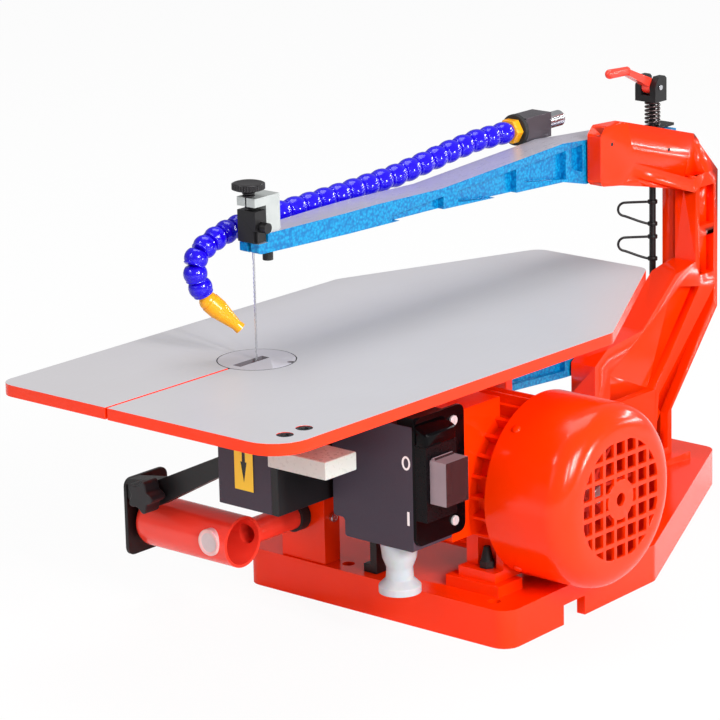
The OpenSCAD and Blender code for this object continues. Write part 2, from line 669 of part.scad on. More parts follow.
// Dust tube
tube_x0 = plate_x + rest;
tube_x1 = -18;
tube_z = -132;
neck_x = -29;
neck_r = 9;
seal_r = 11;
seal_t = 6;
bracket_edge = 2;
bracket_y0 = base_front + bracket_edge;
neck_y1 = bracket_y0 - seal_t;
plug_r = 7.5;
plug_x = -34;
plug_proud = 1;
bracket_x0 = -46;
bracket_x1 = -6;
bracket_deep = 16;
bracket_z1 = -122;
tube_round = 8;
module dust_tube() color([1, 0.25, 0.2]) difference() {
    union() {
        rod_x(tube_r, tube_x0 + tube_round, tube_x1, 0, tube_z);
        rod_x(tube_r - tube_round, tube_x0, tube_x0 + tube_round, 0, tube_z);
        translate([tube_x0 + tube_round, 0, tube_z]) rotate([0, 90, 0]) rotate_extrude()
            translate([tube_r - tube_round, 0]) circle(r = tube_round);
        rod_along_y(neck_r, 0, neck_y1, neck_x, tube_z);
    }
    rod_x(tube_r - tube_wall, tube_x0 + tube_round, tube_x1 + cut, 0, tube_z);
    rod_along_y(neck_r - tube_wall, 0, neck_y1 + cut, neck_x, tube_z);
    rod_along_y(plug_r + fit, -tube_r - cut, 0, plug_x, tube_z);
}
module tube_plug() color([0.95, 0.8, 0.8])
    rod_along_y(plug_r, -tube_r - plug_proud, -tube_r + tube_wall, plug_x, tube_z);
module tube_seal() color(black) difference() {
    rod_along_y(seal_r, neck_y1 - seal_t / 2, bracket_y0, neck_x, tube_z);
    rod_along_y(neck_r + fit, neck_y1 - seal_t, neck_y1, neck_x, tube_z);
    rod_along_y(neck_r - tube_wall, neck_y1 - seal_t, bracket_y0 + cut, neck_x, tube_z);
}
module tube_bracket() color(orange) difference() {
    box(bracket_x0, bracket_x1, bracket_y0, bracket_y0 + bracket_deep, base_top, bracket_z1 + rim);
    rod_along_y(neck_r - tube_wall, bracket_y0 - cut, bracket_y0 + bracket_deep + cut, neck_x, tube_z);
}
module tube_screw() color(steel)
    rod_x(screw_r, bracket_x1, bracket_x1 + 2 * screw_head, bracket_y0 + bracket_deep / 2, tube_z);

// Table
front_round = 26;
corner_round = 12;
rear_near = 62;
rear_far = 38;
kerf = 2;
insert_t = 3;
insert_ledge = 5;
insert_slot = 7;
insert_slot_y0 = -20;
insert_slot_y1 = 9;
table_rib_t = 4;
table_rib_h = 5;
head_r = 5.5;
screw_edge = 18;
screw_front = 25;
screw_spot_x = table_near - screw_edge;
screw_spots_y = [-table_front + screw_front, -table_front + screw_front + screw_edge];
screw_sink = 3;
table_outline = [[-table_far, -table_front], [table_near, -table_front], [table_near, table_bend],
    [rear_near, table_rear], [-rear_far, table_rear], [-table_far, table_bend]];
function table_rounds(i) = i == 1 ? front_round : corner_round;
table_edge = [for (i = [0:5]) each arc_corner(table_outline[(i + 5) % 6], table_outline[i],
    table_outline[(i + 1) % 6], table_rounds(i), 6)];
module table_plate() color([0.75, 0.75, 0.78]) difference() {
    union() {
        translate([0, 0, -table_t]) linear_extrude(table_t) polygon(table_edge);
        difference() {
            intersection() {
                translate([0, 0, -table_t - table_rib_h]) linear_extrude(table_rib_h + cut)
                    polygon(inset(table_outline, 2 * corner_round));
                union() {
                    for (x = [-table_far / 2, table_near / 2])
                        box(x, x + table_rib_t, -table_front, table_rear,
                            -table_t - table_rib_h, -table_t + cut);
                    for (y = [-table_front / 2, table_bend / 2])
                        box(-table_far, table_near, y, y + table_rib_t,
                            -table_t - table_rib_h, -table_t + cut);
                }
            }
            box(-insert_r, insert_r, -table_front, table_bend, -table_t - table_rib_h - cut, -table_t);
        }
    }
    rod_z(insert_r, -insert_t, cut, 0, 0);
    rod_z(insert_r - insert_ledge, -table_t - cut, cut, 0, 0);
    box(-kerf / 2, kerf / 2, -table_front - cut, 0, -table_t - cut, cut);
    for (y = screw_spots_y) {
        rod_z(head_r + fit, -screw_sink, cut, screw_spot_x, y);
        rod_z(stud_r + fit, -table_t - cut, cut, screw_spot_x, y);
    }
}
module table_insert() color([0.6, 0.6, 0.62]) difference() {
    rod_z(insert_r - fit, -insert_t, 0, 0, 0);
    box(-insert_slot / 2, insert_slot / 2, insert_slot_y0, insert_slot_y1, -insert_t - cut, cut);
    rod_z(kerf, -insert_t - cut, cut, insert_r - insert_ledge, insert_r / 3);
}
module table_screws() color(black) for (y = screw_spots_y) difference() {
    union() {
        rod_z(head_r, -screw_sink, -rest, screw_spot_x, y);
        rod_z(stud_r, -table_t - table_rib_h, -screw_sink, screw_spot_x, y);
    }
    translate([screw_spot_x, y, -screw_sink / 2]) cylinder(r = stud_r, h = screw_sink, $fn = 6);
}

// Arms
arm_tip = 4;
arm_tail = 12;
tail_end = rod_y + arm_tail;
tip_top = 81;
tip_low = 74;
tip_step = 2;
spine_y0 = 5;
mid_top = 87;
hump_reach = 78;
hump_y = arm_reach - hump_reach;
hump_top = 92.5;
waist_y = 180;
waist_top = 85;
belly_reach = 51;
belly_y = arm_reach - belly_reach;
belly_low = 57.5;
tail_top = 80;
tail_low = 64;
upper_outline = [[-arm_tip, tip_top - 3 * tip_step], [-arm_tip, tip_top], [spine_y0, tip_top],
    [spine_y0, mid_top],
    [waist_y - belly_y / 5, mid_top], [waist_y, waist_top], [hump_y, hump_top],
    [belly_y, hump_top - tip_step],
    [arm_reach, upper_pivot_z + boss_pin_r], [rod_y - arm_tail, tail_top], [tail_end, tail_top],
    [tail_end, tail_low],
    [arm_reach, upper_pivot_z - boss_pin_r], [belly_y, belly_low], [hump_y, tip_low - 5 * tip_step],
    [waist_y, tip_low - 2 * tip_step], [-arm_tip / 2, tip_low]];
// Pockets along the upper arm, each from a first to a last share of the reach
pocket_shares = [[0.32, 0.46], [0.5, 0.665], [0.69, 0.81], [0.825, 0.86]];
pocket_deep = 5;
arm_slot = 3;
rod_r = 2.5;
rod_gap = 1.5;
link_pin_r = 3;
link_z = -68;
function pocket(s) = let(y0 = s[0] * arm_reach, y1 = s[1] * arm_reach, up = waist_top - 3 * tip_step,
    rise = (hump_top - waist_top) / (hump_y - waist_y), low = tip_low - tip_step)
    [[y0, low], [y1, low - (y1 - y0) / 20 - 2 * tip_step], [y1, up + rise * (y1 - waist_y)],
    [y0, up + rise * (y0 - waist_y)]];
tip_half = 8.5;
taper_share = 0.25;
// In plan the arm narrows towards its tip
upper_plan = [[-tip_half, -arm_tip - cut], [tip_half, -arm_tip - cut], [arm_half + cut, taper_share * arm_reach],
    [arm_half + cut, tail_end + cut], [-arm_half - cut, tail_end + cut],
    [-arm_half - cut, taper_share * arm_reach]];
module upper_arm() color(blue) difference() {
    intersection() {
        side_plate(upper_outline, -arm_half, arm_half);
        translate([0, 0, belly_low - cut]) linear_extrude(hump_top + 2 * cut - belly_low) polygon(upper_plan);
    }
    for (s = pocket_shares) {
        side_plate(pocket(s), arm_half - pocket_deep, arm_half + cut);
        side_plate(pocket(s), -arm_half - cut, -arm_half + pocket_deep);
    }
    rod_x(pivot_r + fit, -arm_half - cut, arm_half + cut, arm_reach, upper_pivot_z);
    rod_z(rod_r + rod_gap, tail_low - cut, tail_top + cut, 0, rod_y);
    box(-arm_slot / 2, arm_slot / 2, -arm_tip - cut, arm_slot, tip_low - cut, mid_top + cut);
    rod_z(stud_r + fit, tip_low - cut, mid_top + cut, 0, bolt_y);
}
arch_y0 = 105;
arch_y1 = 180;
arch_low = -64;
arch_top = -47;
low_tip_y = -12;
low_tip_top = -62;
low_tip_low = -74;
shelf_y = 40;
lower_outline = [[low_tip_y, low_tip_low], [low_tip_y, low_tip_top], [shelf_y, low_tip_top + tip_step / 2],
    [shelf_y + arch_y0 / 3, low_tip_top + 3 * tip_step], [arch_y0, arch_top], [arch_y1, arch_top],
    [arch_y1 + 2 * boss_pin_r, arch_top - 3 * tip_step], [arm_reach, low_pivot + boss_pin_r],
    [rod_y - arm_tail, low_pivot + tail_low / 8], [tail_end, low_pivot + tail_low / 8],
    [tail_end, low_pivot - tail_low / 8], [rod_y - arm_tail, low_pivot - tail_low / 8],
    [arm_reach, low_pivot - boss_pin_r], [hump_y, low_pivot - boss_pin_r + tip_step],
    [arch_y1 + 2 * boss_pin_r, arch_low - 6 * tip_step], [arch_y1, arch_low], [arch_y0, arch_low],
    [shelf_y + arch_y0 / 3, low_tip_low + tip_step]];
low_pocket = [[arch_y1 + 3 * boss_pin_r, arch_low - 4 * tip_step], [hump_y, low_pivot - 3 * tip_step],
    [hump_y, low_pivot + 3 * tip_step], [arch_y1 + 3 * boss_pin_r, arch_top - 6 * tip_step]];
lug_r = 6;
lug_t = 4;
lug_x = 6;
module lower_arm() color(blue) difference() {
    union() {
        side_plate(lower_outline, -arm_half, arm_half);
        for (x = [-lug_x - lug_t, lug_x]) {
            rod_x(lug_r, x, x + lug_t, motor_y, link_z);
            box(x, x + lug_t, motor_y - lug_r, motor_y + lug_r, link_z, arch_low + cut);
        }
    }
    side_plate(low_pocket, arm_half - pocket_deep, arm_half + cut);
    side_plate(low_pocket, -arm_half - cut, -arm_half + pocket_deep);
    box(-lug_x, lug_x, motor_y - 2 * lug_r, motor_y + 2 * lug_r,
        link_z - lug_r - cut, arch_low + link_pin_r);
    rod_x(pivot_r + fit, -arm_half - cut, arm_half + cut, arm_reach, low_pivot);
    rod_x(link_pin_r + fit, -lug_x - lug_t - cut, lug_x + lug_t + cut, motor_y, link_z);
    rod_z(rod_r + rod_gap, low_pivot - tail_low / 4, low_pivot + tail_low / 4, 0, rod_y);
    box(-arm_slot / 2, arm_slot / 2, low_tip_y - cut, arm_slot, low_tip_low - cut, low_tip_top + cut);
}
module pivot_pins() color(steel)
    for (z = [upper_pivot_z, low_pivot])
        rod_x(pivot_r, -cheek_x1 - tip_step, cheek_x1 - pin_hide, arm_reach, z);
module rod_link_pin() color(steel) rod_x(link_pin_r, -lug_x - lug_t, lug_x + lug_t, motor_y, link_z);
big_end_r = 12.5;
big_end_wall = 3.5;
link_half = 4;
module connecting_rod() color(steel) difference() {
    union() {
        rod_x(link_pin_r + big_end_wall / 2, -link_half, link_half, motor_y, link_z);
        rod_x(big_end_r + big_end_wall, -link_half, link_half, motor_y, crank_z);
        box(-link_half, link_half, motor_y - link_pin_r, motor_y + link_pin_r, crank_z + big_end_r, link_z);
    }
    rod_x(big_end_r, -link_half - cut, link_half + cut, motor_y, crank_z);
    rod_x(link_pin_r + fit, -link_half - cut, link_half + cut, motor_y, link_z);
}

// Blade and its clamps
blade_t = 0.6;
blade_w = 1.8;
tooth = 0.6;
tooth_pitch = 3.2;
blade_top = 88;
blade_low = blade_top - blade_len;
tooth_lean = 0.9;
teeth_low = 19;
teeth_clear = 38;
tooth_count = floor((blade_len - teeth_clear) / tooth_pitch);
module blade() color(steel)
    side_plate(concat([[blade_w / 2, blade_low], [blade_w / 2, blade_top], [-blade_w / 2, blade_top]],
        [for (i = [tooth_count:-1:0], k = [1, 0])
            let(z = blade_low + teeth_low + (i + k * tooth_lean) * tooth_pitch)
            [-blade_w / 2 + (k == 0 ? tooth : 0), z]], [[-blade_w / 2, blade_low]]),
        -blade_t / 2, blade_t / 2);
clamp_half = 8;
lug_z0 = 106;
lug_z1 = 112;
spine_y1 = 18.5;
bolt_y = 14;
clamp_front = -6;
block_gap = 0.8;
screw_y0 = -3;
thumb_r = 11.5;
thumb_z0 = 117;
thumb_t = 5;
module clamp_bracket() color([0.85, 0.86, 0.87]) difference() {
    union() {
        box(-clamp_half, clamp_half, spine_y0, spine_y1, mid_top, lug_z1);
        box(-clamp_half, clamp_half, clamp_front, spine_y1, lug_z0, lug_z1);
    }
    rod_z(stud_r + fit, lug_z0 - cut, lug_z1 + cut, 0, screw_y0);
    rod_z(stud_r + fit, mid_top - cut, mid_top + spine_y1 - bolt_y, 0, bolt_y);
}
module clamp_block() color(black) difference() {
    union() {
        box(-clamp_half, clamp_half, clamp_front, spine_y0 - block_gap, tip_top + block_gap,
            lug_z0 - block_gap - tip_step);
        rod_x(1.2 * stud_r, clamp_half - cut, clamp_half + 2 * stud_r, 0, grip_z);
    }
    box(-blade_t / 2 - fit, blade_t / 2 + fit, -blade_w / 2 - fit, blade_w / 2 + fit,
        tip_top, blade_top + fit);
    box(clamp_half - tip_step, clamp_half + cut, clamp_front - cut, clamp_front + tip_step,
        tip_top, tip_top + 3 * stud_r);
}
module clamp_screw() color(black) {
    rod_z(stud_r, lug_z0 - block_gap - tip_step + rest, thumb_z0 + cut, 0, screw_y0);
    for (z = [lug_z1 + rest, lug_z1 + rest + tip_step])
        rod_z(stud_r + tip_step / 2, z, z + tip_step / 2, 0, screw_y0);
    translate([0, screw_y0, thumb_z0]) rotate_extrude()
        polygon([[0, 0], [thumb_r - tip_step / 2, 0], [thumb_r, tip_step / 2], [thumb_r, thumb_t - tip_step],
            [thumb_r - tip_step, thumb_t], [0, thumb_t]]);
}
module clamp_bolt() color(black) {
    rod_z(stud_r, tip_low - tip_step / 2, mid_top + spine_y1 - bolt_y - rest, 0, bolt_y);
    rod_z(1.2 * stud_r, tip_low - 4 * tip_step, tip_low - tip_step / 2, 0, bolt_y);
}
low_clamp_half = 9;
low_clamp_z1 = -38;
module lower_clamp() color(black) difference() {
    union() {
        box(-low_clamp_half, low_clamp_half, -low_clamp_half, low_clamp_half,
            low_tip_top + block_gap, low_clamp_z1);
        rod_along_y(1.2 * stud_r, -low_clamp_half - stud_r, -low_clamp_half + cut, 0, low_grip);
    }
    box(-blade_t / 2 - fit, blade_t / 2 + fit, -blade_w / 2 - fit, blade_w / 2 + fit,
        blade_low - fit, low_clamp_z1 + cut);
}

// Tension rod, spring and lever
rod_top = 104;
nut_gap = 0.5;
rod_low = low_pivot - tail_low / 8;
lift_plate_t = 2;
lift_plate_half = 6;
lift_plate_y1 = 19;
spring_r = 4.5;
wire_r = 0.8;
spring_curls = 7;
block_half = 9.4;
block_front = 9;
block_behind = 5;
block_y0 = rod_y - block_front;
block_y1 = rod_y + block_behind;
block_slope = 12;
tension_z0 = 102;
tension_z1 = 121;
lever_slot = 4.2;
lever_half = 3.6;
pin_r = 2;
pin_ahead = 3;
pin_y = rod_y - pin_ahead;
pin_z = 113;
lever_len = 53;
lever_rise = 17;
lever_end_r = 6;
handle_len = 23;
seat_z = tail_top + rest;
module tension_rod() color(black) {
    rod_z(rod_r, rod_low - 4 * nut_t / 2, rod_top, 0, rod_y);
    translate([0, rod_y, rod_low - nut_gap - nut_t]) cylinder(r = nut_r, h = nut_t, $fn = 6);
}
module spring_plate() color(steel) difference() {
    box(-lift_plate_half, lift_plate_half, rod_y - lift_plate_half, rod_y + lift_plate_y1,
        seat_z, seat_z + lift_plate_t);
    rod_z(rod_r + rod_gap, seat_z - cut, seat_z + lift_plate_t + cut, 0, rod_y);
}
function ring_points(c, t, n, r, sides) = let(b = cross(t, n))
    [for (k = [0:sides - 1]) c + r * (cos(k * 360 / sides) * n + sin(k * 360 / sides) * b)];
function skin(rings, sides, first = 0) = [for (i = [0:rings - 2], k = [0:sides - 1])
    let(a = first + i * sides + k, b = first + i * sides + (k + 1) % sides)
    each [[a, a + sides, b], [b, a + sides, b + sides]]];
// Closed fans over the first and the last ring
function lids(rings, sides) = let(z = (rings - 1) * sides) concat([for (k = [1:sides - 2]) [0, k, k + 1]],
    [for (k = [1:sides - 2]) [z, z + k + 1, z + k]]);
spring_z0 = seat_z + lift_plate_t + rest + wire_r;
spring_z1 = tension_z0 - rest - wire_r;
spring_rings = 8 * spring_curls + 1;
spring_rise = (spring_z1 - spring_z0) / spring_curls;
function spring_at(i) = [spring_r * cos(i * 45), rod_y + spring_r * sin(i * 45),
    spring_z0 + spring_rise * i / 8];
spring_points = [for (i = [0:spring_rings - 1]) spring_at(i)];
spring_least = min([for (i = [0:spring_rings - 1], j = [0:spring_rings - 1]) if (j > i + 4)
    norm(spring_points[j] - spring_points[i])]) - 2 * wire_r;
echo("least gap of the spring to itself", spring_least);
module tension_spring() color(steel) {
    tangents = [for (i = [0:spring_rings - 1]) unit(spring_at(i + 1) - spring_at(i - 1))];
    rings = [for (i = [0:spring_rings - 1]) each ring_points(spring_points[i], tangents[i],
        [cos(i * 45), sin(i * 45), 0], wire_r, 6)];
    polyhedron(rings, concat(skin(spring_rings, 6), lids(spring_rings, 6)));
}
module tension_block() color(black) difference() {
    union() {
        side_plate([[block_y0, tension_z0], [block_y1, tension_z0], [block_y1, tension_z1 - pin_r],
            [block_y1 - pin_r, tension_z1], [block_y0 + 2 * pin_r, tension_z1],
            [block_y0, tension_z0 + block_slope]], -block_half, block_half);
        rod_along_y(2 * pin_r, block_y1 - cut, block_y1 + 3 * pin_r, 0, tension_z0 + 2 * pin_r);
    }
    rod_z(rod_r + fit, tension_z0 - cut, rod_top + fit, 0, rod_y);
    box(-lever_slot, lever_slot, block_y0 - cut, block_y1 + cut,
        pin_z - lever_end_r - fit, tension_z1 + cut);
    rod_x(pin_r + fit, -block_half - cut, block_half + cut, pin_y, pin_z);
}
module lever_pin() color(steel) rod_x(pin_r, -block_half - pin_r / 2, block_half + pin_r / 2, pin_y, pin_z);
lever_tip_y = pin_y - lever_len;
lever_tip_z = pin_z + lever_rise;
handle_y1 = lever_tip_y + handle_len;
module cam_lever() color([0.85, 0.1, 0.12]) difference() {
    union() {
        rod_x(lever_end_r - rest, -lever_half, lever_half, pin_y, pin_z);
        side_plate([[pin_y, pin_z - pin_r], [pin_y, pin_z + lever_end_r - rest],
            [handle_y1, lever_tip_z + pin_r / 2], [handle_y1, lever_tip_z - 2 * pin_r]],
            -lever_half, lever_half);
        translate([0, lever_tip_y + lever_half, lever_tip_z]) sphere(r = lever_half);
        round_between([0, lever_tip_y + lever_half, lever_tip_z],
            [0, handle_y1 + pin_r, lever_tip_z - pin_r / 2], lever_half, lever_half - rest);
    }
    rod_x(pin_r + fit, -lever_half - cut, lever_half + cut, pin_y, pin_z);
}
// Two loops of wire that hold spare blades, bent round the rod
holder_wire_r = 1.1;
holder_out = 21;
holder_bend_r = 5.2;
holder_tops = [24, -3];
holder_drop = 6.6;
holder_turn = -45;
function loop_points(z) = concat([[0, rod_y - rod_r - holder_wire_r / 2, z]],
    [for (a = [90:30:270])
        [0, rod_y - holder_out + holder_bend_r * cos(a), z - holder_bend_r + holder_bend_r * sin(a)]],
    [[0, rod_y - rod_r - holder_wire_r / 2, z - 2 * holder_bend_r - holder_drop]]);
module wire_holder() color(black) translate([0, rod_y, 0]) rotate([0, 0, holder_turn]) translate([0, -rod_y, 0]) {
    for (z = holder_tops) let(p = loop_points(z), n = len(p)) {
        ts = [for (i = [0:n - 1]) unit(p[min(i + 1, n - 1)] - p[max(i - 1, 0)])];
        polyhedron([for (i = [0:n - 1]) each ring_points(p[i], ts[i], [1, 0, 0], holder_wire_r, 8)],
            concat(skin(n, 8), lids(n, 8)));
    }
    difference() {
        union() for (z = holder_tops, s = [0, 1])
            rod_z(rod_r + holder_wire_r, z - s * (2 * holder_bend_r + holder_drop) - holder_wire_r,
                z - s * (2 * holder_bend_r + holder_drop) + holder_wire_r, 0, rod_y);
        rod_z(rod_r + fit, -column_rear, column_rear, 0, rod_y);
    }
}

// Air hose with its fittings on the arm's far side
hose_x = -23;
hose_z = 100;
valve_reach = 86;
valve_len = 29;
valve_y0 = arm_reach - valve_reach;
valve_y1 = valve_y0 + valve_len;
valve_half = 9;
stub_r = 6;
stub_len = 20;
stub_y1 = valve_y1 + stub_len;
collar_r = 11.5;
collar_len = 4;
collar_y0 = valve_y0 - collar_len;
hex_r = 9.5;
hex_len = 7;
hex_y0 = collar_y0 - hex_len;
hanger_t = 3;
hanger_edge = 9;
hanger_rest = 7;
hanger_y0 = valve_y0 + hanger_edge;
hanger_y1 = arm_reach + hanger_rest;
ball_pitch = 14.2;
bend_pitch = 10.4;
bend_len = 85;
waist_share = 0.78;
// Route of the hose from the fitting over the arm to the nozzle, as shares of the fitting's place
route_shares = [[1, 1, 1], [1, 0.879, 1], [1, 0.779, 0.975], [1, 0.678, 0.94], [1, 0.58, 0.91],
    [1.022, 0.403, 0.885], [1.043, 0.242, 0.875], [1.109, 0.141, 0.87], [1.174, 0.054, 0.85],
    [1.217, 0.007, 0.827], [1.239, -0.035, 0.793], [1.261, -0.067, 0.75], [1.27, -0.084, 0.7],
    [1.27, -0.089, 0.65], [1.252, -0.087, 0.575], [1.209, -0.0755, 0.495], [1.174, -0.067, 0.45]];
route = [for (s = route_shares) [s[0] * hose_x, s[1] * hex_y0, s[2] * hose_z]];
nozzle_tip = [-11.4, -2.6, 20.2];
nozzle_r = 7;
nozzle_tip_r = 3.6;
nozzle_bore_r = 1.8;
nozzle_ball_r = 6.5;
nozzle_back = 1;
nozzle_collar = 9;
nozzle_lip = 3;
route_marks = [for (i = 0, s = 0; i < len(route);
    s = s + (i + 1 < len(route) ? norm(route[i + 1] - route[i]) : 0), i = i + 1) s];
route_len = route_marks[len(route) - 1];
function route_at(s, i = 0) = i >= len(route) - 2 || s <= route_marks[i + 1]
    ? route[i] + unit(route[i + 1] - route[i]) * (s - route_marks[i]) : route_at(s, i + 1);
// The balls lie closer together in the bend
straight_len = route_len - bend_len;
straight_count = floor(straight_len / ball_pitch);
bend_count = floor(bend_len / bend_pitch);
ball_marks = concat([for (i = [0:straight_count - 1]) i * straight_len / straight_count],
    [for (i = [0:bend_count]) straight_len + i * bend_len / bend_count]);
// Two rings for each ball and one waist after it
ring_shares = [[0.16, 1], [0.62, 1], [0.9, waist_share]];
hose_s = concat([0], [for (i = [0:len(ball_marks) - 2], r = ring_shares)
    ball_marks[i] + r[0] * (ball_marks[i + 1] - ball_marks[i])], [route_len]);
hose_r = concat([ball_r * waist_share], [for (i = [0:len(ball_marks) - 2], r = ring_shares) ball_r * r[1]],
    [ball_r * waist_share]);
hose_sides = 10;
function hose_ring(s, r) =
    let(t = unit(route_at(min(s + ball_r, route_len + ball_r)) - route_at(max(s - ball_r, -ball_r))),
    b = unit(cross(t, [1, 0, 0])), n = cross(b, t)) ring_points(route_at(s), t, n, r, hose_sides);
module air_hose() color([0.12, 0.1, 0.85]) {
    n = len(hose_s);
    outer = [for (i = [0:n - 1]) each hose_ring(hose_s[i], hose_r[i])];
    inner = [for (i = [n - 1:-1:0]) each hose_ring(hose_s[i], hose_bore_r)];
    first = [for (i = [0:0]) each hose_ring(hose_s[0], hose_r[0])];
    polyhedron(concat(outer, inner, first), concat(skin(2 * n, hose_sides),
        [for (k = [0:hose_sides - 1])
            let(a = (2 * n - 1) * hose_sides + k, b = (2 * n - 1) * hose_sides + (k + 1) % hose_sides)
            each [[a, k, b], [b, k, (k + 1) % hose_sides]]]));
}
// The nozzle's ball sits in the mouth of the hose's last segment
hose_end = route[len(route) - 1];
nozzle_ball = hose_end + unit(hose_end - route[len(route) - 2]) * (nozzle_ball_r - nozzle_back / 2);
nozzle_dir = unit(nozzle_tip - nozzle_ball);
module air_nozzle() color([1, 0.7, 0.1]) difference() {
    union() {
        translate(nozzle_ball) sphere(r = nozzle_ball_r);
        round_between(nozzle_ball + nozzle_dir * nozzle_back, nozzle_ball + nozzle_dir * nozzle_collar,
            nozzle_r, nozzle_r);
        round_between(nozzle_ball + nozzle_dir * (nozzle_collar - nozzle_back),
            nozzle_tip - nozzle_dir * nozzle_lip, nozzle_r, nozzle_tip_r);
        round_between(nozzle_tip - nozzle_dir * 2 * nozzle_lip, nozzle_tip,
            nozzle_tip_r, nozzle_tip_r + nozzle_back / 2);
    }
    round_between(nozzle_ball - nozzle_dir * nozzle_r, nozzle_tip + nozzle_dir * cut,
        nozzle_bore_r, nozzle_bore_r);
}
module hose_bracket() color(black) difference() {
    union() {
        box(-cheek_x1 - hanger_t, -cheek_x1, hanger_y0, hanger_y1, far_low, far_top);
        box(-cheek_x1 - hanger_t, -cheek_x1, hanger_y0, valve_y1 - 2 * tip_step,
            far_low, hose_z - valve_half);
    }
    rod_x(pivot_r + rest, -cheek_x1 - hanger_t - cut, -cheek_x1 + cut, arm_reach, upper_pivot_z);
}
module hose_valve() color(black) difference() {
    box(hose_x - valve_half, hose_x + valve_half - rest, valve_y0, valve_y1,
        hose_z - valve_half, hose_z + valve_half);
    rod_along_y(hose_bore_r, valve_y0 - cut, valve_y1 + cut, hose_x, hose_z);
}
module hose_stub() color([0.7, 0.7, 0.72]) difference() {
    rod_along_y(stub_r, valve_y1, stub_y1, hose_x, hose_z);
    rod_along_y(hose_bore_r, valve_y1 - cut, stub_y1 + cut, hose_x, hose_z);
}
module hose_nut() color([0.95, 0.5, 0.1]) difference() {
    translate([hose_x, hex_y0, hose_z]) rotate([-90, 0, 0])
        cylinder(r = hex_r, h = hex_len, $fn = 6);
    rod_along_y(hose_bore_r, hex_y0 - cut, collar_y0 + cut, hose_x, hose_z);
}
module hose_collar() color(black) difference() {
    rod_along_y(collar_r, collar_y0, valve_y0, hose_x, hose_z);
    rod_along_y(hose_bore_r, collar_y0 - cut, valve_y0 + cut, hose_x, hose_z);
}

base_casting();
frame_casting();
motor_body();
motor_end_shield();
fan_cover();
motor_fan();
motor_shaft();
eccentric();
connecting_rod();
motor_nuts();
switch_housing();
switch_flange();
switch_panel();
switch_rocker();
switch_cover();
switch_screws();
cable_boot();
support_arm();
guard_cover();
arrow_label();
blade_box();
tilt_saddle();
rear_trunnion();
tilt_bar();
end_plate();
tilt_knob();
dust_tube();
tube_plug();
tube_seal();
tube_bracket();
tube_screw();
table_plate();
table_quadrants();
table_insert();
table_screws();
upper_arm();
lower_arm();
pivot_pins();
rod_link_pin();
blade();
clamp_bracket();
clamp_block();
clamp_screw();
clamp_bolt();
lower_clamp();
tension_rod();
spring_plate();
tension_spring();
tension_block();
lever_pin();
cam_lever();
wire_holder();
hose_bracket();
hose_valve();
hose_stub();
hose_nut();
hose_collar();
air_hose();
air_nozzle();
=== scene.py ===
import bpy, bmesh, json, math
from mathutils import Vector, Matrix


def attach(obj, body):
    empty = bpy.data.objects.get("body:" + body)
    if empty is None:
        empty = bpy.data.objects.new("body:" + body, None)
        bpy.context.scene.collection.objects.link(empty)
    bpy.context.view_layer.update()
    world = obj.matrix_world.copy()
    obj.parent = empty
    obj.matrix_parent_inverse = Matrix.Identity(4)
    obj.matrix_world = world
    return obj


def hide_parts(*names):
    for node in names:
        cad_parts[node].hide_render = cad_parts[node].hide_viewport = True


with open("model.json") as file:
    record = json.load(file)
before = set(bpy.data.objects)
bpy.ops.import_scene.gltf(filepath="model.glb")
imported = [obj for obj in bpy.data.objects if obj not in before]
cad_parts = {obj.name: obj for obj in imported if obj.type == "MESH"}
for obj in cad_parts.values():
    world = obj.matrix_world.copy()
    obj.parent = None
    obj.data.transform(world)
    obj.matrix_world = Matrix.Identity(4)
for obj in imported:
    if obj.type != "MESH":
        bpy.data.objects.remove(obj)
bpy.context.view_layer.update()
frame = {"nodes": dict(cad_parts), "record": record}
cad = frame["nodes"]
bodyOf = {n: b for b, ns in frame["record"]["behaviour"]["bodies"].items() for n in ns}
mm = 0.001
print("frame loaded:", len(cad), "nodes")

# ---- camera, floor and lights
camera = {"place": (1.63362, -1.75344, 0.66625), "right": (0.754839, 0.655543, -0.021927),
          "up": (-0.160276, 0.216764, 0.962977), "lens": 186.0, "sensor": 36, "near": 0.1, "far": 20}
shot = bpy.data.cameras.new("camera")
shot.lens, shot.sensor_width = camera["lens"], camera["sensor"]
shot.clip_start, shot.clip_end = camera["near"], camera["far"]
shotObject = bpy.data.objects.new("camera", shot)
right, up = Vector(camera["right"]), Vector(camera["up"])
turn = Matrix((right, up, right.cross(up))).transposed().to_4x4()
shotObject.matrix_world = Matrix.Translation(camera["place"]) @ turn
bpy.context.scene.collection.objects.link(shotObject)
bpy.context.scene.camera = shotObject
bpy.context.scene.view_settings.view_transform = "Standard"


def linear(hexColour):
    # sRGB hex to the linear colour that a shader takes
    parts = [int(hexColour[i:i + 2], 16) / 255 for i in (1, 3, 5)]
    return tuple(c / 12.92 if c <= 0.04045 else ((c + 0.055) / 1.055) ** 2.4 for c in parts) + (1.0,)


def addNode(tree, kind, sockets=None, **settings):
    # one node with its settings; a socket given as another node's output is linked
    node = tree.nodes.new(kind)
    for name, value in settings.items():
        setattr(node, name, value)
    for name, value in (sockets or {}).items():
        if isinstance(value, bpy.types.NodeSocket):
            tree.links.new(value, node.inputs[name])
        else:
            node.inputs[name].default_value = value
    return node


def startMaterial(name):
    material = bpy.data.materials.new(name)
    material.use_nodes = True
    tree = material.node_tree
    tree.nodes.clear()
    shader = tree.nodes.new("ShaderNodeBsdfPrincipled")
    output = tree.nodes.new("ShaderNodeOutputMaterial")
    tree.links.new(shader.outputs["BSDF"], output.inputs["Surface"])
    place = tree.nodes.new("ShaderNodeTexCoord").outputs["Object"]
    return material, tree, shader, place


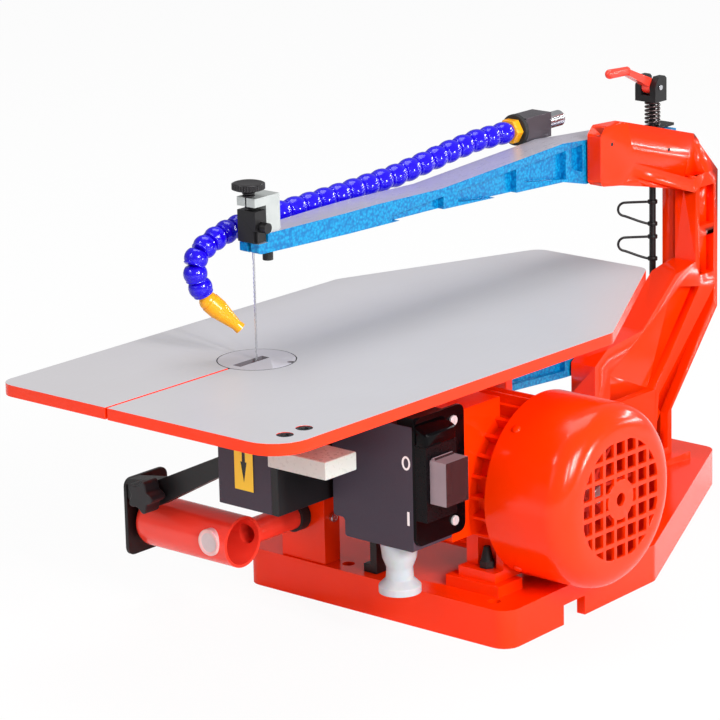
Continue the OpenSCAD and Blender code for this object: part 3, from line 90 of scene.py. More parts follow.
def mixColours(tree, factor, first, second):
    mix = tree.nodes.new("ShaderNodeMix")
    mix.data_type = "RGBA"
    tree.links.new(factor, mix.inputs[0])
    for socket, value in ((mix.inputs[6], first), (mix.inputs[7], second)):
        if isinstance(value, str):
            socket.default_value = linear(value)
        else:
            tree.links.new(value, socket)
    return mix.outputs[2]


def finish(name, look):
    # the common build: a slow cloud of two near colours, a fine grain in roughness and in relief
    material, tree, shader, place = startMaterial(name)
    stretch = addNode(tree, "ShaderNodeMapping", {"Vector": place, "Scale": look.get("stretch", (1, 1, 1))})
    cloud = addNode(tree, "ShaderNodeTexNoise", {"Vector": place, "Scale": 1 / (look["cloudMm"] * mm),
                    "Detail": 3.0, "Roughness": 0.5})
    grain = addNode(tree, "ShaderNodeTexNoise", {"Vector": stretch.outputs[0], "Scale": 1 / (look["grainMm"] * mm),
                    "Detail": look.get("grainDetail", 2.0), "Roughness": 0.55})
    tree.links.new(mixColours(tree, cloud.outputs["Fac"], *look["colours"]), shader.inputs["Base Color"])
    spread = addNode(tree, "ShaderNodeMapRange", {"Value": grain.outputs["Fac"], "From Min": 0.3, "From Max": 0.7,
                     "To Min": look["roughness"][0], "To Max": look["roughness"][1]})
    tree.links.new(spread.outputs[0], shader.inputs["Roughness"])
    relief = addNode(tree, "ShaderNodeBump", {"Height": grain.outputs["Fac"], "Distance": look["reliefMm"] * mm,
                     "Strength": 1.0})
    tree.links.new(relief.outputs[0], shader.inputs["Normal"])
    for socket, value in look.get("sockets", {}).items():
        shader.inputs[socket].default_value = value
    return material


finishes = {
    # stove enamel on cast iron: glossy with a faint orange peel
    "orangeStoveEnamel": {"colours": ("#FF3000", "#FF3902"), "cloudMm": 60, "grainMm": 3.2,
                          "roughness": (0.15, 0.21), "reliefMm": 0.03, "sockets": {"Specular IOR Level": 0.3}},
    # injection moulded polypropylene in clear red: soft gloss, light passes a little way in
    "redMouldedPolypropylene": {"colours": ("#F93A2A", "#FF4836"), "cloudMm": 40, "grainMm": 2.0,
                                "roughness": (0.16, 0.22), "reliefMm": 0.006,
                                "sockets": {"Subsurface Weight": 0.06, "Subsurface Scale": 0.002}},
    # wound spring steel, oil blued: dark with a brown sheen
    "oilBluedWire": {"colours": ("#4C4344", "#625654"), "cloudMm": 6, "grainMm": 0.7,
                     "roughness": (0.22, 0.34), "reliefMm": 0.008, "sockets": {"Metallic": 0.85}},
    # hard anodised aluminium of the air valve: mid grey satin
    "greyAnodised": {"colours": ("#4B474E", "#5A555C"), "cloudMm": 12, "grainMm": 0.7,
                     "roughness": (0.32, 0.45), "reliefMm": 0.01, "sockets": {"Metallic": 0.5}},
    # phosphated and oiled steel: dark satin
    "blackOxideSteel": {"colours": ("#09080A", "#121013"), "cloudMm": 25, "grainMm": 0.9,
                        "roughness": (0.35, 0.5), "reliefMm": 0.02, "sockets": {"Specular IOR Level": 0.4}},
    # moulded nylon knobs: fine matt grain
    "blackMouldedNylon": {"colours": ("#141215", "#1F1C20"), "cloudMm": 20, "grainMm": 0.7,
                          "roughness": (0.36, 0.48), "reliefMm": 0.03, "sockets": {"Specular IOR Level": 0.4}},
    # polished ABS of the switch flange: near mirror
    "glossBlackAbs": {"colours": ("#040405", "#08070A"), "cloudMm": 30, "grainMm": 4.0,
                      "roughness": (0.1, 0.14), "reliefMm": 0.008, "sockets": {"IOR": 1.18}},
    # the switch's own block, in darker moulding than its box
    "darkPolishedAbs": {"colours": ("#0A0709", "#110C10"), "cloudMm": 30, "grainMm": 1.5,
                        "roughness": (0.25, 0.35), "reliefMm": 0.01, "sockets": {"IOR": 1.2}},
    # spark-eroded ABS of the switch box: dull violet grey
    "greySparkedAbs": {"colours": ("#3A3340", "#423B48"), "cloudMm": 50, "grainMm": 0.8,
                       "roughness": (0.5, 0.62), "reliefMm": 0.03, "sockets": {"Specular IOR Level": 0.35}},
    # white polystyrene box: clean, slightly milky
    "whitePolystyrene": {"colours": ("#C4CBC5", "#D0D6D0"), "cloudMm": 20, "grainMm": 3.0,
                         "roughness": (0.25, 0.34), "reliefMm": 0.015,
                         "sockets": {"Subsurface Weight": 0.2, "Subsurface Scale": 0.003}},
    # black neoprene
    "blackNeoprene": {"colours": ("#101011", "#1A191B"), "cloudMm": 15, "grainMm": 0.8,
                      "roughness": (0.6, 0.75), "reliefMm": 0.03, "sockets": {}},
    # turned and drawn steel: bright with fine rings
    "turnedSteel": {"colours": ("#B9B9BE", "#CFCFD3"), "cloudMm": 12, "grainMm": 0.5,
                    "roughness": (0.22, 0.36), "reliefMm": 0.006, "sockets": {"Metallic": 1.0}},
    # nickelled screw heads: bright even against dark plastic
    "brightNickel": {"colours": ("#D8D9DC", "#ECEDEE"), "cloudMm": 3, "grainMm": 0.5,
                     "roughness": (0.25, 0.4), "reliefMm": 0.01, "sockets": {"Metallic": 0.4}},
    # zinc plated screws: a bluish bright plate
    "zincPlate": {"colours": ("#C9CCD3", "#E2E3E6"), "cloudMm": 6, "grainMm": 0.6,
                  "roughness": (0.16, 0.28), "reliefMm": 0.005, "sockets": {"Metallic": 1.0}},
    # acetal copolymer of the jointed hose: even gloss in ultramarine
    "ultramarineAcetal": {"colours": ("#1600C4", "#2004DE"), "cloudMm": 9, "grainMm": 2.5,
                          "roughness": (0.1, 0.16), "reliefMm": 0.006, "sockets": {}},
    # the same acetal in amber: warm, lit through at its rim
    "amberAcetal": {"colours": ("#FFA20A", "#FFB41E"), "cloudMm": 12, "grainMm": 2.5,
                    "roughness": (0.16, 0.24), "reliefMm": 0.01,
                    "sockets": {"Subsurface Weight": 0.25, "Subsurface Scale": 0.003}},
    # die-cast zinc, tumbled and painted silver white
    "silverDiecast": {"colours": ("#B6BBBA", "#C8CCCA"), "cloudMm": 10, "grainMm": 0.9,
                      "roughness": (0.3, 0.45), "reliefMm": 0.03, "sockets": {"Metallic": 0.55}},
    # pale pink polyethylene plug
    "pinkPolyethylene": {"colours": ("#E8BDBC", "#F0CCCA"), "cloudMm": 8, "grainMm": 1.5,
                         "roughness": (0.4, 0.5), "reliefMm": 0.01,
                         "sockets": {"Subsurface Weight": 0.3, "Subsurface Scale": 0.002}},
    # the plug's dished middle, painted greyer than its rim: painted shade in the dish
    "plugDishPaintedShade": {"colours": ("#CDC4C6", "#D8CFD0"), "cloudMm": 6, "grainMm": 1.5,
                         "roughness": (0.4, 0.5), "reliefMm": 0.01, "sockets": {}},
    # the insert's sides, underside and slot walls: dull as sawn aluminium, their dark grey painted shade in the slot
    "sawnWallsPaintedShade": {"colours": ("#5E5A60", "#6C686D"), "cloudMm": 4, "grainMm": 0.6,
                      "roughness": (0.45, 0.6), "reliefMm": 0.01, "sockets": {}},
    # screen-printed ink: flat and opaque
    "whiteInk": {"colours": ("#F1F1F1", "#FAFAFA"), "cloudMm": 5, "grainMm": 1.0,
                 "roughness": (0.5, 0.6), "reliefMm": 0.004, "sockets": {}},
    "blackInk": {"colours": ("#0B0B0C", "#121213"), "cloudMm": 5, "grainMm": 1.0,
                 "roughness": (0.4, 0.5), "reliefMm": 0.004, "sockets": {}},
    # vinyl label film in signal yellow
    "yellowVinyl": {"colours": ("#F5C912", "#FBD524"), "cloudMm": 12, "grainMm": 3.0,
                    "roughness": (0.28, 0.36), "reliefMm": 0.006, "sockets": {}},
}
metals = {name: finish(name, look) for name, look in finishes.items()}
print("finishes:", len(metals))


def hammerEnamel():
    # hammertone enamel on the cast arms: cells about 2 mm across, light on their crowns
    look = {"deep": "#0372B2", "light": "#08A4DA", "cellMm": 2.1, "reliefMm": 0.07, "bendMm": 3, "bend": 0.0012,
            "soft": 0.6, "crown": 0.1, "valley": 0.7, "roughness": 0.22, "metallic": 0.1, "specular": 0.35}
    material, tree, shader, place = startMaterial("blueHammerEnamel")
    bend = addNode(tree, "ShaderNodeTexNoise", {"Vector": place, "Scale": 1 / (look["bendMm"] * mm), "Detail": 2.0})
    shifted = addNode(tree, "ShaderNodeMixRGB", {"Fac": look["bend"], "Color1": place,
                      "Color2": bend.outputs["Color"]}, blend_type="ADD")
    cells = addNode(tree, "ShaderNodeTexVoronoi", {"Vector": shifted.outputs[0], "Scale": 1 / (look["cellMm"] * mm)},
                    feature="SMOOTH_F1")
    cells.inputs["Smoothness"].default_value = look["soft"]
    tone = addNode(tree, "ShaderNodeMapRange", {"Value": cells.outputs["Distance"], "From Min": look["crown"],
                   "From Max": look["valley"], "To Min": 0.0, "To Max": 1.0})
    tree.links.new(mixColours(tree, tone.outputs[0], look["light"], look["deep"]), shader.inputs["Base Color"])
    shader.inputs["Roughness"].default_value = look["roughness"]
    shader.inputs["Metallic"].default_value = look["metallic"]
    shader.inputs["Specular IOR Level"].default_value = look["specular"]
    relief = addNode(tree, "ShaderNodeBump", {"Height": cells.outputs["Distance"], "Distance": look["reliefMm"] * mm},
                     invert=True)
    tree.links.new(relief.outputs[0], shader.inputs["Normal"])
    return material


def groundAluminium(name, colours, roughness, metallic):
    # ground casting: fine lines along Y, the grinding direction, drawn at 0.6 mm so that they show
    look = {"lineMm": 0.6, "stretch": (1, 0.03, 1), "cloudMm": 70, "reliefMm": 0.004}
    material, tree, shader, place = startMaterial(name)
    lines = addNode(tree, "ShaderNodeMapping", {"Vector": place, "Scale": look["stretch"]})
    fine = addNode(tree, "ShaderNodeTexNoise", {"Vector": lines.outputs[0], "Scale": 1 / (look["lineMm"] * mm),
                   "Detail": 3.0})
    cloud = addNode(tree, "ShaderNodeTexNoise", {"Vector": place, "Scale": 1 / (look["cloudMm"] * mm), "Detail": 2.0})
    tree.links.new(mixColours(tree, cloud.outputs["Fac"], *colours), shader.inputs["Base Color"])
    spread = addNode(tree, "ShaderNodeMapRange", {"Value": fine.outputs["Fac"], "From Min": 0.3, "From Max": 0.7,
                     "To Min": roughness[0], "To Max": roughness[1]})
    tree.links.new(spread.outputs[0], shader.inputs["Roughness"])
    relief = addNode(tree, "ShaderNodeBump", {"Height": fine.outputs["Fac"], "Distance": look["reliefMm"] * mm})
    tree.links.new(relief.outputs[0], shader.inputs["Normal"])
    shader.inputs["Metallic"].default_value = metallic
    return material


def smokedPolycarbonate(name, colours, roughness, clear):
    # smoked flap: the rocker shows through its face; the paler, less clear copy on its walls is painted light
    look = {"cloudMm": 10, "ior": 1.3}
    material, tree, shader, place = startMaterial(name)
    cloud = addNode(tree, "ShaderNodeTexNoise", {"Vector": place, "Scale": 1 / (look["cloudMm"] * mm), "Detail": 2.0})
    tree.links.new(mixColours(tree, cloud.outputs["Fac"], *colours), shader.inputs["Base Color"])
    shader.inputs["Roughness"].default_value = roughness
    shader.inputs["Transmission Weight"].default_value = clear
    shader.inputs["IOR"].default_value = look["ior"]
    return material


def milkySilicone():
    # natural silicone rubber boot: pale, waxy, lit from inside
    look = {"colours": ("#C6D3DA", "#E2E9EC"), "cloudMm": 9, "reliefMm": 0.2,
            "sockets": {"Roughness": 0.25, "Transmission Weight": 0.3, "Subsurface Weight": 0.5,
                        "Subsurface Scale": 0.006}}
    material, tree, shader, place = startMaterial("milkySilicone")
    cloud = addNode(tree, "ShaderNodeTexNoise", {"Vector": place, "Scale": 1 / (look["cloudMm"] * mm), "Detail": 3.0})
    tree.links.new(mixColours(tree, cloud.outputs["Fac"], *look["colours"]), shader.inputs["Base Color"])
    relief = addNode(tree, "ShaderNodeBump", {"Height": cloud.outputs["Fac"], "Distance": look["reliefMm"] * mm})
    tree.links.new(relief.outputs[0], shader.inputs["Normal"])
    for socket, value in look["sockets"].items():
        shader.inputs[socket].default_value = value
    return material


metals["blueHammerEnamel"] = hammerEnamel()
metals["groundTable"] = groundAluminium("groundTable", ("#C3C0C3", "#C8C6C9"), (0.36, 0.46), 0.08)
# the arm's top faces: a lilac grey with fine lines, painted reflection of the bright sky on the blue enamel
metals["armTopPaintedReflection"] = groundAluminium("armTopPaintedReflection", ("#B3AFBC", "#C3BFCA"), (0.26, 0.4), 0.3)
metals["groundInsert"] = groundAluminium("groundInsert", ("#BEBAC0", "#C5C1C7"), (0.32, 0.42), 0.08)
metals["smokedPolycarbonate"] = smokedPolycarbonate("smokedPolycarbonate", ("#6A4C50", "#74565A"), 0.06, 0.8)
metals["smokedWallPaintedLight"] = smokedPolycarbonate("smokedWallPaintedLight", ("#A2949C", "#B0A2A9"), 0.2, 0.25)
metals["milkySilicone"] = milkySilicone()


# ---- mesh helpers
# lengths in metres, angles in degrees
tolerance = {"point": 1e-6, "cadPoint": 2e-6, "flat": 0.6}


def sharpen(mesh, degrees=32):
    mesh.shade_smooth()
    mesh.set_sharp_from_angle(angle=math.radians(degrees))


def newPiece(name, bm, materials, body, replaced=(), degrees=32):
    mesh = bpy.data.meshes.new(name)
    bm.to_mesh(mesh)
    bm.free()
    for material in materials if isinstance(materials, (list, tuple)) else [materials]:
        mesh.materials.append(metals[material])
    sharpen(mesh, degrees)
    piece = bpy.data.objects.new(name, mesh)
    bpy.context.scene.collection.objects.link(piece)
    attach(piece, body)
    if replaced:
        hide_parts(*replaced)
    return piece


def cadShape(node):
    # a merged copy of a CAD node, its flat faces made whole again where they have no row of holes
    bm = bmesh.new()
    bm.from_mesh(cad[node].data)
    bmesh.ops.remove_doubles(bm, verts=bm.verts, dist=tolerance["cadPoint"])
    if node not in holed:
        bmesh.ops.dissolve_limit(bm, angle_limit=math.radians(tolerance["flat"]), verts=bm.verts, edges=bm.edges)
    return bm


def roundEdges(piece, widthMm, segments=3, degrees=34):
    bevel = piece.modifiers.new("edges", "BEVEL")
    bevel.width, bevel.segments = widthMm * mm, segments
    bevel.limit_method, bevel.angle_limit = "ANGLE", math.radians(degrees)
    bevel.harden_normals = True
    bevel.miter_outer = "MITER_ARC"
    return piece


# ---- every CAD node: its finish and the width of its rounded edges in mm, 0 for pieces with a form of their own
dressed = {
    "base_casting": ("orangeStoveEnamel", 1.6), "frame_casting": ("orangeStoveEnamel", 2.0),
    "motor_body": ("orangeStoveEnamel", 0.35), "motor_end_shield": ("orangeStoveEnamel", 0.6),
    "fan_cover": ("orangeStoveEnamel", 0.3), "motor_fan": ("redMouldedPolypropylene", 0.3),
    "motor_shaft": ("turnedSteel", 0.3), "eccentric": ("turnedSteel", 0.4), "connecting_rod": ("turnedSteel", 0.3),
    "motor_nuts": ("blackOxideSteel", 0.3), "switch_housing": ("greySparkedAbs", 0.8),
    "switch_flange": ("glossBlackAbs", 0.6), "switch_panel": ("darkPolishedAbs", 0.8),
    "switch_rocker": ("blackMouldedNylon", 0.4), "switch_cover": ("smokedPolycarbonate", 0.6),
    "switch_screws": ("brightNickel", 0.25), "cable_boot": ("milkySilicone", 0.5),
    "support_arm": ("blackOxideSteel", 0.5), "guard_cover": ("greySparkedAbs", 0.7),
    "arrow_label": ("yellowVinyl", 0.1), "blade_box": ("whitePolystyrene", 0.8),
    "tilt_saddle": ("blackOxideSteel", 0.5), "rear_trunnion": ("orangeStoveEnamel", 0.8),
    "tilt_bar": ("blackOxideSteel", 0.8), "end_plate": ("blackOxideSteel", 0.5),
    "tilt_knob": ("blackMouldedNylon", 0.0), "dust_tube": ("redMouldedPolypropylene", 0.5),
    "tube_plug": ("pinkPolyethylene", 0.0),
    "tube_seal": ("blackNeoprene", 0.4), "tube_bracket": ("orangeStoveEnamel", 0.8), "tube_screw": ("zincPlate", 0.5),
    "table_plate": ("groundTable", 0.5), "table_quadrants": ("orangeStoveEnamel", 0.5),
    "table_insert": ("groundInsert", 0.0), "table_screws": ("blackOxideSteel", 0.3),
    "upper_arm": ("blueHammerEnamel", 0.9), "lower_arm": ("blueHammerEnamel", 0.9),
    "pivot_pins": ("turnedSteel", 0.5), "rod_link_pin": ("turnedSteel", 0.3), "blade": ("turnedSteel", 0.0),
    "clamp_bracket": ("silverDiecast", 1.0), "clamp_block": ("blackOxideSteel", 0.8),
    "clamp_screw": ("blackMouldedNylon", 0.0), "clamp_bolt": ("blackOxideSteel", 0.4),
    "lower_clamp": ("blackOxideSteel", 0.6), "tension_rod": ("blackOxideSteel", 0.3),
    "spring_plate": ("blackOxideSteel", 0.3), "tension_spring": ("oilBluedWire", 0.0),
    "tension_block": ("blackOxideSteel", 0.8), "lever_pin": ("zincPlate", 0.2),
    "cam_lever": ("redMouldedPolypropylene", 0.6), "wire_holder": ("blackOxideSteel", 0.0),
    "hose_bracket": ("blackOxideSteel", 0.5), "hose_valve": ("greyAnodised", 0.8),
    "hose_stub": ("zincPlate", 0.3), "hose_nut": ("amberAcetal", 0.5), "hose_collar": ("blackNeoprene", 0.8),
    "air_hose": ("ultramarineAcetal", 0.0), "air_nozzle": ("amberAcetal", 0.4)}
ownPieces = {"air_hose", "tension_spring", "wire_holder", "clamp_screw", "tube_plug", "tilt_knob"}
holed = {"fan_cover", "frame_casting", "table_insert"}


def dressNode(node, finishName, edgeMm):
    cad[node].data.materials.clear()
    cad[node].data.materials.append(metals[finishName])
    if node in ownPieces:
        return
    piece = newPiece(node.replace("_", "-"), cadShape(node), finishName, bodyOf[node], [node])
    if edgeMm:
        roundEdges(piece, edgeMm)
    return piece


shown = {node: dressNode(node, *look) for node, look in dressed.items()}
print("dressed:", len(shown))


def paintFaces(node, finishName, chosen):
    # gives a second finish to the faces that chosen(centre in mm, normal) picks
    mesh = shown[node].data
    mesh.materials.append(metals[finishName])
    last = len(mesh.materials) - 1
    for face in mesh.polygons:
        if chosen(face.center / mm, face.normal):
            face.material_index = last


# the table is enamelled all round and ground on top; the upper arm's top is a lilac grey, painted reflection
paint = {"level": 0.9, "tableSkin": -0.5, "armTop": 80, "boreR": 27.6, "arrow": (-22.4, -22.1)}
paintFaces("table_plate", "orangeStoveEnamel", lambda at, n: n.z < paint["level"] or at.z < paint["tableSkin"])
paintFaces("upper_arm", "armTopPaintedReflection", lambda at, n: n.z > paint["level"] and at.z > paint["armTop"])
# the insert's faces that don't face up get the dark grey: painted shade in its slot
paintFaces("table_insert", "sawnWallsPaintedShade", lambda at, n: n.z < paint["level"])
# the table's bore walls are painted black: painted shade under the insert, where its slot would show the floor
paintFaces("table_plate", "blackOxideSteel",
           lambda at, n: n.z < paint["level"] and math.hypot(at.x, at.y) < paint["boreR"])
paintFaces("arrow_label", "blackInk", lambda at, n: paint["arrow"][0] < at.y < paint["arrow"][1])
# the flap's walls facing the front and the top get the paler copy: painted light
paintFaces("switch_cover", "smokedWallPaintedLight", lambda at, n: n.y < -paint["level"] or n.z > paint["level"])


def chamfer(node, widthMm, finishName, chosen, sharpest=0.5):
    # cuts a chamfer, in a second finish, along the edges over sharpest radians whose middle chosen picks
    mesh = shown[node].data
    mesh.materials.append(metals[finishName])
    bm = bmesh.new()
    bm.from_mesh(mesh)
    edges = [e for e in bm.edges if e.calc_face_angle(0) > sharpest
             and chosen((e.verts[0].co + e.verts[1].co) / 2 / mm)]
    bmesh.ops.bevel(bm, geom=edges, affect="EDGES", offset=widthMm * mm, segments=1, profile=0.5,
                    material=len(mesh.materials) - 1)
    bm.to_mesh(mesh)
    bm.free()
    sharpen(mesh)


# the insert's rim: a thin chamfer painted black, painted shade of the gap between insert and table
rim = {"width": 0.7, "lowest": -0.1, "innerR": 25}
chamfer("table_insert", rim["width"], "blackOxideSteel",
        lambda at: at.z > rim["lowest"] and math.hypot(at.x, at.y) > rim["innerR"])


def turned(profile, steps=40):
    # a turned form about Z from (radius, height) pairs in mm, closed where the radius is 0
    bm = bmesh.new()
    rim = [bm.verts.new((r * mm, 0, z * mm)) for r, z in profile]
    for a, b in zip(rim, rim[1:]):
        bm.edges.new((a, b))
    bmesh.ops.spin(bm, geom=bm.verts[:] + bm.edges[:], cent=(0, 0, 0), axis=(0, 0, 1),
                   angle=2 * math.pi, steps=steps, use_merge=True)
    bmesh.ops.remove_doubles(bm, verts=bm.verts, dist=tolerance["point"])
    bmesh.ops.recalc_face_normals(bm, faces=bm.faces)
    return bm


def stand(bm, at, along=(0, 0, 1), verts=None):
    # moves a form made about Z so that Z points along and its origin lies at
    aim = Vector((0, 0, 1)).rotation_difference(Vector(along)).to_matrix().to_4x4()
    bmesh.ops.transform(bm, matrix=Matrix.Translation(Vector(at) * mm) @ aim, verts=verts or bm.verts)
    return bm


def joined(forms):
    whole = bmesh.new()
    for form in forms:
        part = bpy.data.meshes.new("part")
        form.to_mesh(part)
        form.free()
        whole.from_mesh(part)
        bpy.data.meshes.remove(part)
    return whole


def wire(points, radiusMm, sides=12):
    # a round wire along points in mm, bent smoothly
    line = bpy.data.curves.new("wire", "CURVE")
    line.dimensions, line.bevel_depth, line.bevel_resolution = "3D", radiusMm * mm, sides // 4
    line.use_fill_caps, line.resolution_u = True, 6
    run = line.splines.new("NURBS")
    run.points.add(len(points) - 1)
    for point, place in zip(run.points, points):
        point.co = (*(Vector(place) * mm), 1)
    run.use_endpoint_u, run.order_u = True, 3
    holder = bpy.data.objects.new("wire", line)
    bm = bmesh.new()
    made = holder.to_mesh()
    bm.from_mesh(made)
    holder.to_mesh_clear()
    bpy.data.objects.remove(holder)
    bmesh.ops.remove_doubles(bm, verts=bm.verts, dist=tolerance["point"])
    bmesh.ops.recalc_face_normals(bm, faces=bm.faces)
    return bm


# ---- jointed air hose: each bead's ball sits in the lip of the one before
hose = {"route": [(-23, 298, 100), (-23, 261.9, 100), (-23, 232.1, 97.5), (-23, 202, 94),
                  (-23, 172.8, 91), (-23.5, 120.1, 88.5), (-24, 72.1, 87.5), (-25.5, 42, 87),
                  (-27, 16.1, 85), (-28, 2.1, 82.7), (-28.5, -10.4, 79.3), (-29, -20, 75),
                  (-29.2, -25, 70), (-29.2, -26.5, 65), (-28.8, -25.9, 57.5), (-27.8, -22.5, 49.5),
                  (-27, -20, 45)],
        "pitch": 14.2, "bendPitch": 10.4, "bendLong": 85, "ballR": 8.25, "ballShare": 0.42, "sides": 28,
        "bead": [(0, -7.3), (3.4, -7.25), (6.3, -6.7), (7.2, -4.9), (7.95, -2.6), (8.25, 0), (8.1, 2.2), (7.55, 4.3),
                 (6.9, 5.6), (6.85, 6.1), (7.05, 6.4), (7.0, 7.0), (6.5, 7.4), (0, 7.5)]}


def hosePlace(distance):
    points = [Vector(p) for p in hose["route"]]
    for i, (a, b) in enumerate(zip(points, points[1:])):
        step = (b - a).length
        if distance <= step or i == len(points) - 2:
            return a + (b - a).normalized() * distance
        distance -= step


def hoseBeads():
    # full pitch along the straight, closer beads in the bend, each scaled to its own length
    points = [Vector(p) for p in hose["route"]]
    length = sum((b - a).length for a, b in zip(points, points[1:]))
    straight = length - hose["bendLong"]
    count, bendCount = math.floor(straight / hose["pitch"]), math.floor(hose["bendLong"] / hose["bendPitch"])
    ends = [i * straight / count for i in range(count)]
    ends += [straight + i * hose["bendLong"] / bendCount for i in range(bendCount + 1)]
    beads = []
    for start, end in zip(ends, ends[1:]):
        share = (end - start) / hose["pitch"]
        middle = start + hose["ballShare"] * (end - start)
        along = hosePlace(min(middle + hose["ballR"], length)) - hosePlace(max(middle - hose["ballR"], 0))
        bead = turned([(r, z * share) for r, z in hose["bead"]], hose["sides"])
        beads.append(stand(bead, hosePlace(middle), along))
    return joined(beads)


newPiece("air-hose", hoseBeads(), "ultramarineAcetal", "machine", ["air_hose"], 50)
print("air hose")

# ---- tension spring, wound in one turn of a round section
spring = {"coilR": 5.1, "wireR": 0.95, "curls": 6, "foot": 83.4, "head": 100.9, "rodY": 442, "sides": 12, "steps": 32}


def springCoil():
    bm = bmesh.new()
    bmesh.ops.create_circle(bm, segments=spring["sides"], radius=spring["wireR"] * mm,
                            matrix=Matrix.Translation(Vector((spring["coilR"], spring["rodY"], spring["foot"])) * mm)
                            @ Matrix.Rotation(math.pi / 2, 4, "X"))
    steps = spring["steps"] * spring["curls"]
    rise = (spring["head"] - spring["foot"]) / steps
    bmesh.ops.spin(bm, geom=bm.verts[:] + bm.edges[:], cent=Vector((0, spring["rodY"], 0)) * mm, axis=(0, 0, 1),
                   dvec=Vector((0, 0, rise)) * mm, angle=2 * math.pi * spring["curls"], steps=steps)
    bmesh.ops.holes_fill(bm, edges=[e for e in bm.edges if e.is_boundary])
    bmesh.ops.recalc_face_normals(bm, faces=bm.faces)
    return bm


newPiece("tension-spring", springCoil(), "oilBluedWire", "tension", ["tension_spring"], 60)

# ---- wire loops on the rod
loops = {"rodY": 442, "wireR": 0.95, "out": 21, "bendR": 5.2, "tops": (24, -3), "drop": 6.6, "turn": -45,
         "inset": 3, "straight": 5, "footStep": (4, 0.8), "sides": 28,
         "collar": [(2.56, -1.3), (3.6, -1.3), (3.75, -0.9), (3.75, 0.9), (3.6, 1.3), (2.56, 1.3), (2.56, -1.3)]}


def wireLoops():
    forms = []
    for top in loops["tops"]:
        bend = [(0, loops["rodY"] - loops["out"] + loops["bendR"] * math.cos(math.radians(a)),
                 top - loops["bendR"] + loops["bendR"] * math.sin(math.radians(a))) for a in range(90, 271, 20)]
        foot = top - 2 * loops["bendR"] - loops["drop"]
        near = loops["rodY"] - loops["inset"]
        back, lift = loops["footStep"]
        forms.append(wire([(0, near, top), (0, near - loops["straight"], top)] + bend
                          + [(0, near - back, foot + lift), (0, near, foot)], loops["wireR"]))
        for height in (top, foot):
            forms.append(stand(turned(loops["collar"], loops["sides"]), (0, loops["rodY"], height)))
    whole = joined(forms)
    bmesh.ops.rotate(whole, cent=(0, loops["rodY"] * mm, 0), verts=whole.verts,
                     matrix=Matrix.Rotation(math.radians(loops["turn"]), 3, "Z"))
    return whole


newPiece("wire-holder", wireLoops(), "blackOxideSteel", "tension", ["wire_holder"], 50)

# ---- thumb screw with a knurled rim
thumb = {"at": (0, -3), "rimR": 11.2, "rimFoot": 117, "rimTop": 122, "rimInset": 0.7,
         "flutes": 36, "fluteDeep": 0.45, "capSides": 72, "stemSides": 32,
         "cap": [(0, 0), (9.4, 0), (10.4, 0.5), (10.5, 0.8), (10.5, 4.2), (10.2, 4.7), (9.2, 5.0), (8.2, 4.85),
                 (0, 4.75)],
         "thread": {"foot": 103.6, "turns": 12, "crestR": 3.0, "rootR": 2.6, "half": 0.5, "first": 104},
         "neck": [(3.4, 116), (3.4, 117.5), (0, 117.5)], "collars": (112.35, 114.2),
         "collar": [(0, 0), (3.9, 0), (4.3, 0.3), (4.3, 0.9), (3.9, 1.2), (0, 1.2)]}


def thumbScrew():
    rim = bmesh.new()
    bmesh.ops.create_circle(rim, cap_ends=True, segments=thumb["flutes"] * 4, radius=thumb["rimR"] * mm)
    for i, vert in enumerate(sorted(rim.verts, key=lambda v: math.atan2(v.co.y, v.co.x))):
        if i % 4 < 2:
            vert.co *= 1 - thumb["fluteDeep"] / thumb["rimR"]
    raised = bmesh.ops.extrude_face_region(rim, geom=rim.faces[:])
    top = [v for v in raised["geom"] if isinstance(v, bmesh.types.BMVert)]
    tall = thumb["rimTop"] - thumb["rimFoot"] - 2 * thumb["rimInset"]
    bmesh.ops.translate(rim, verts=top, vec=(0, 0, tall * mm))
    bmesh.ops.recalc_face_normals(rim, faces=rim.faces)
    stand(rim, (*thumb["at"], thumb["rimFoot"] + thumb["rimInset"]))
    cap = stand(turned(thumb["cap"], thumb["capSides"]), (*thumb["at"], thumb["rimFoot"]))
    # the thread under the knob: a stack of turned ridges at 1 mm pitch
    thread = thumb["thread"]
    ridges = [(0, thread["foot"]), (thread["rootR"], thread["foot"])]
    for k in range(thread["turns"]):
        ridges += [(thread["crestR"], thread["first"] + k), (thread["rootR"], thread["first"] + thread["half"] + k)]
    shank = stand(turned(ridges + thumb["neck"], thumb["stemSides"]), (*thumb["at"], 0))
    collars = [stand(turned([(r, z + height) for r, z in thumb["collar"]], thumb["stemSides"]), (*thumb["at"], 0))
               for height in thumb["collars"]]
    return joined([rim, cap, shank] + collars)


newPiece("clamp-screw", thumbScrew(), "blackMouldedNylon", "thumb_screw", ["clamp_screw"], 35)

# ---- star knob of the table tilt, hollow between its five tips
star = {"at": (-80, -22, -103), "long": 14, "waistR": 8.2, "tipR": 12.0, "tips": 5, "tipSteps": 18, "sharp": 1.2,
        "edge": 1.0, "edgeDegrees": 50, "stud": [(0, -14), (3, -14), (3, 2), (0, 2)], "studSides": 24}


def starKnob():
    bm = bmesh.new()
    bmesh.ops.create_circle(bm, cap_ends=True, segments=star["tipSteps"] * star["tips"], radius=1.0)
    for vert in bm.verts:
        lift = (0.5 + 0.5 * math.cos(star["tips"] * math.atan2(vert.co.y, vert.co.x))) ** star["sharp"]
        vert.co *= (star["waistR"] + (star["tipR"] - star["waistR"]) * lift) * mm
    raised = bmesh.ops.extrude_face_region(bm, geom=bm.faces[:])
    front = [v for v in raised["geom"] if isinstance(v, bmesh.types.BMVert)]
    bmesh.ops.translate(bm, verts=front, vec=(0, 0, star["long"] * mm))
    bmesh.ops.recalc_face_normals(bm, faces=bm.faces)
    return stand(joined([bm, turned(star["stud"], star["studSides"])]), star["at"], (0, -1, 0))


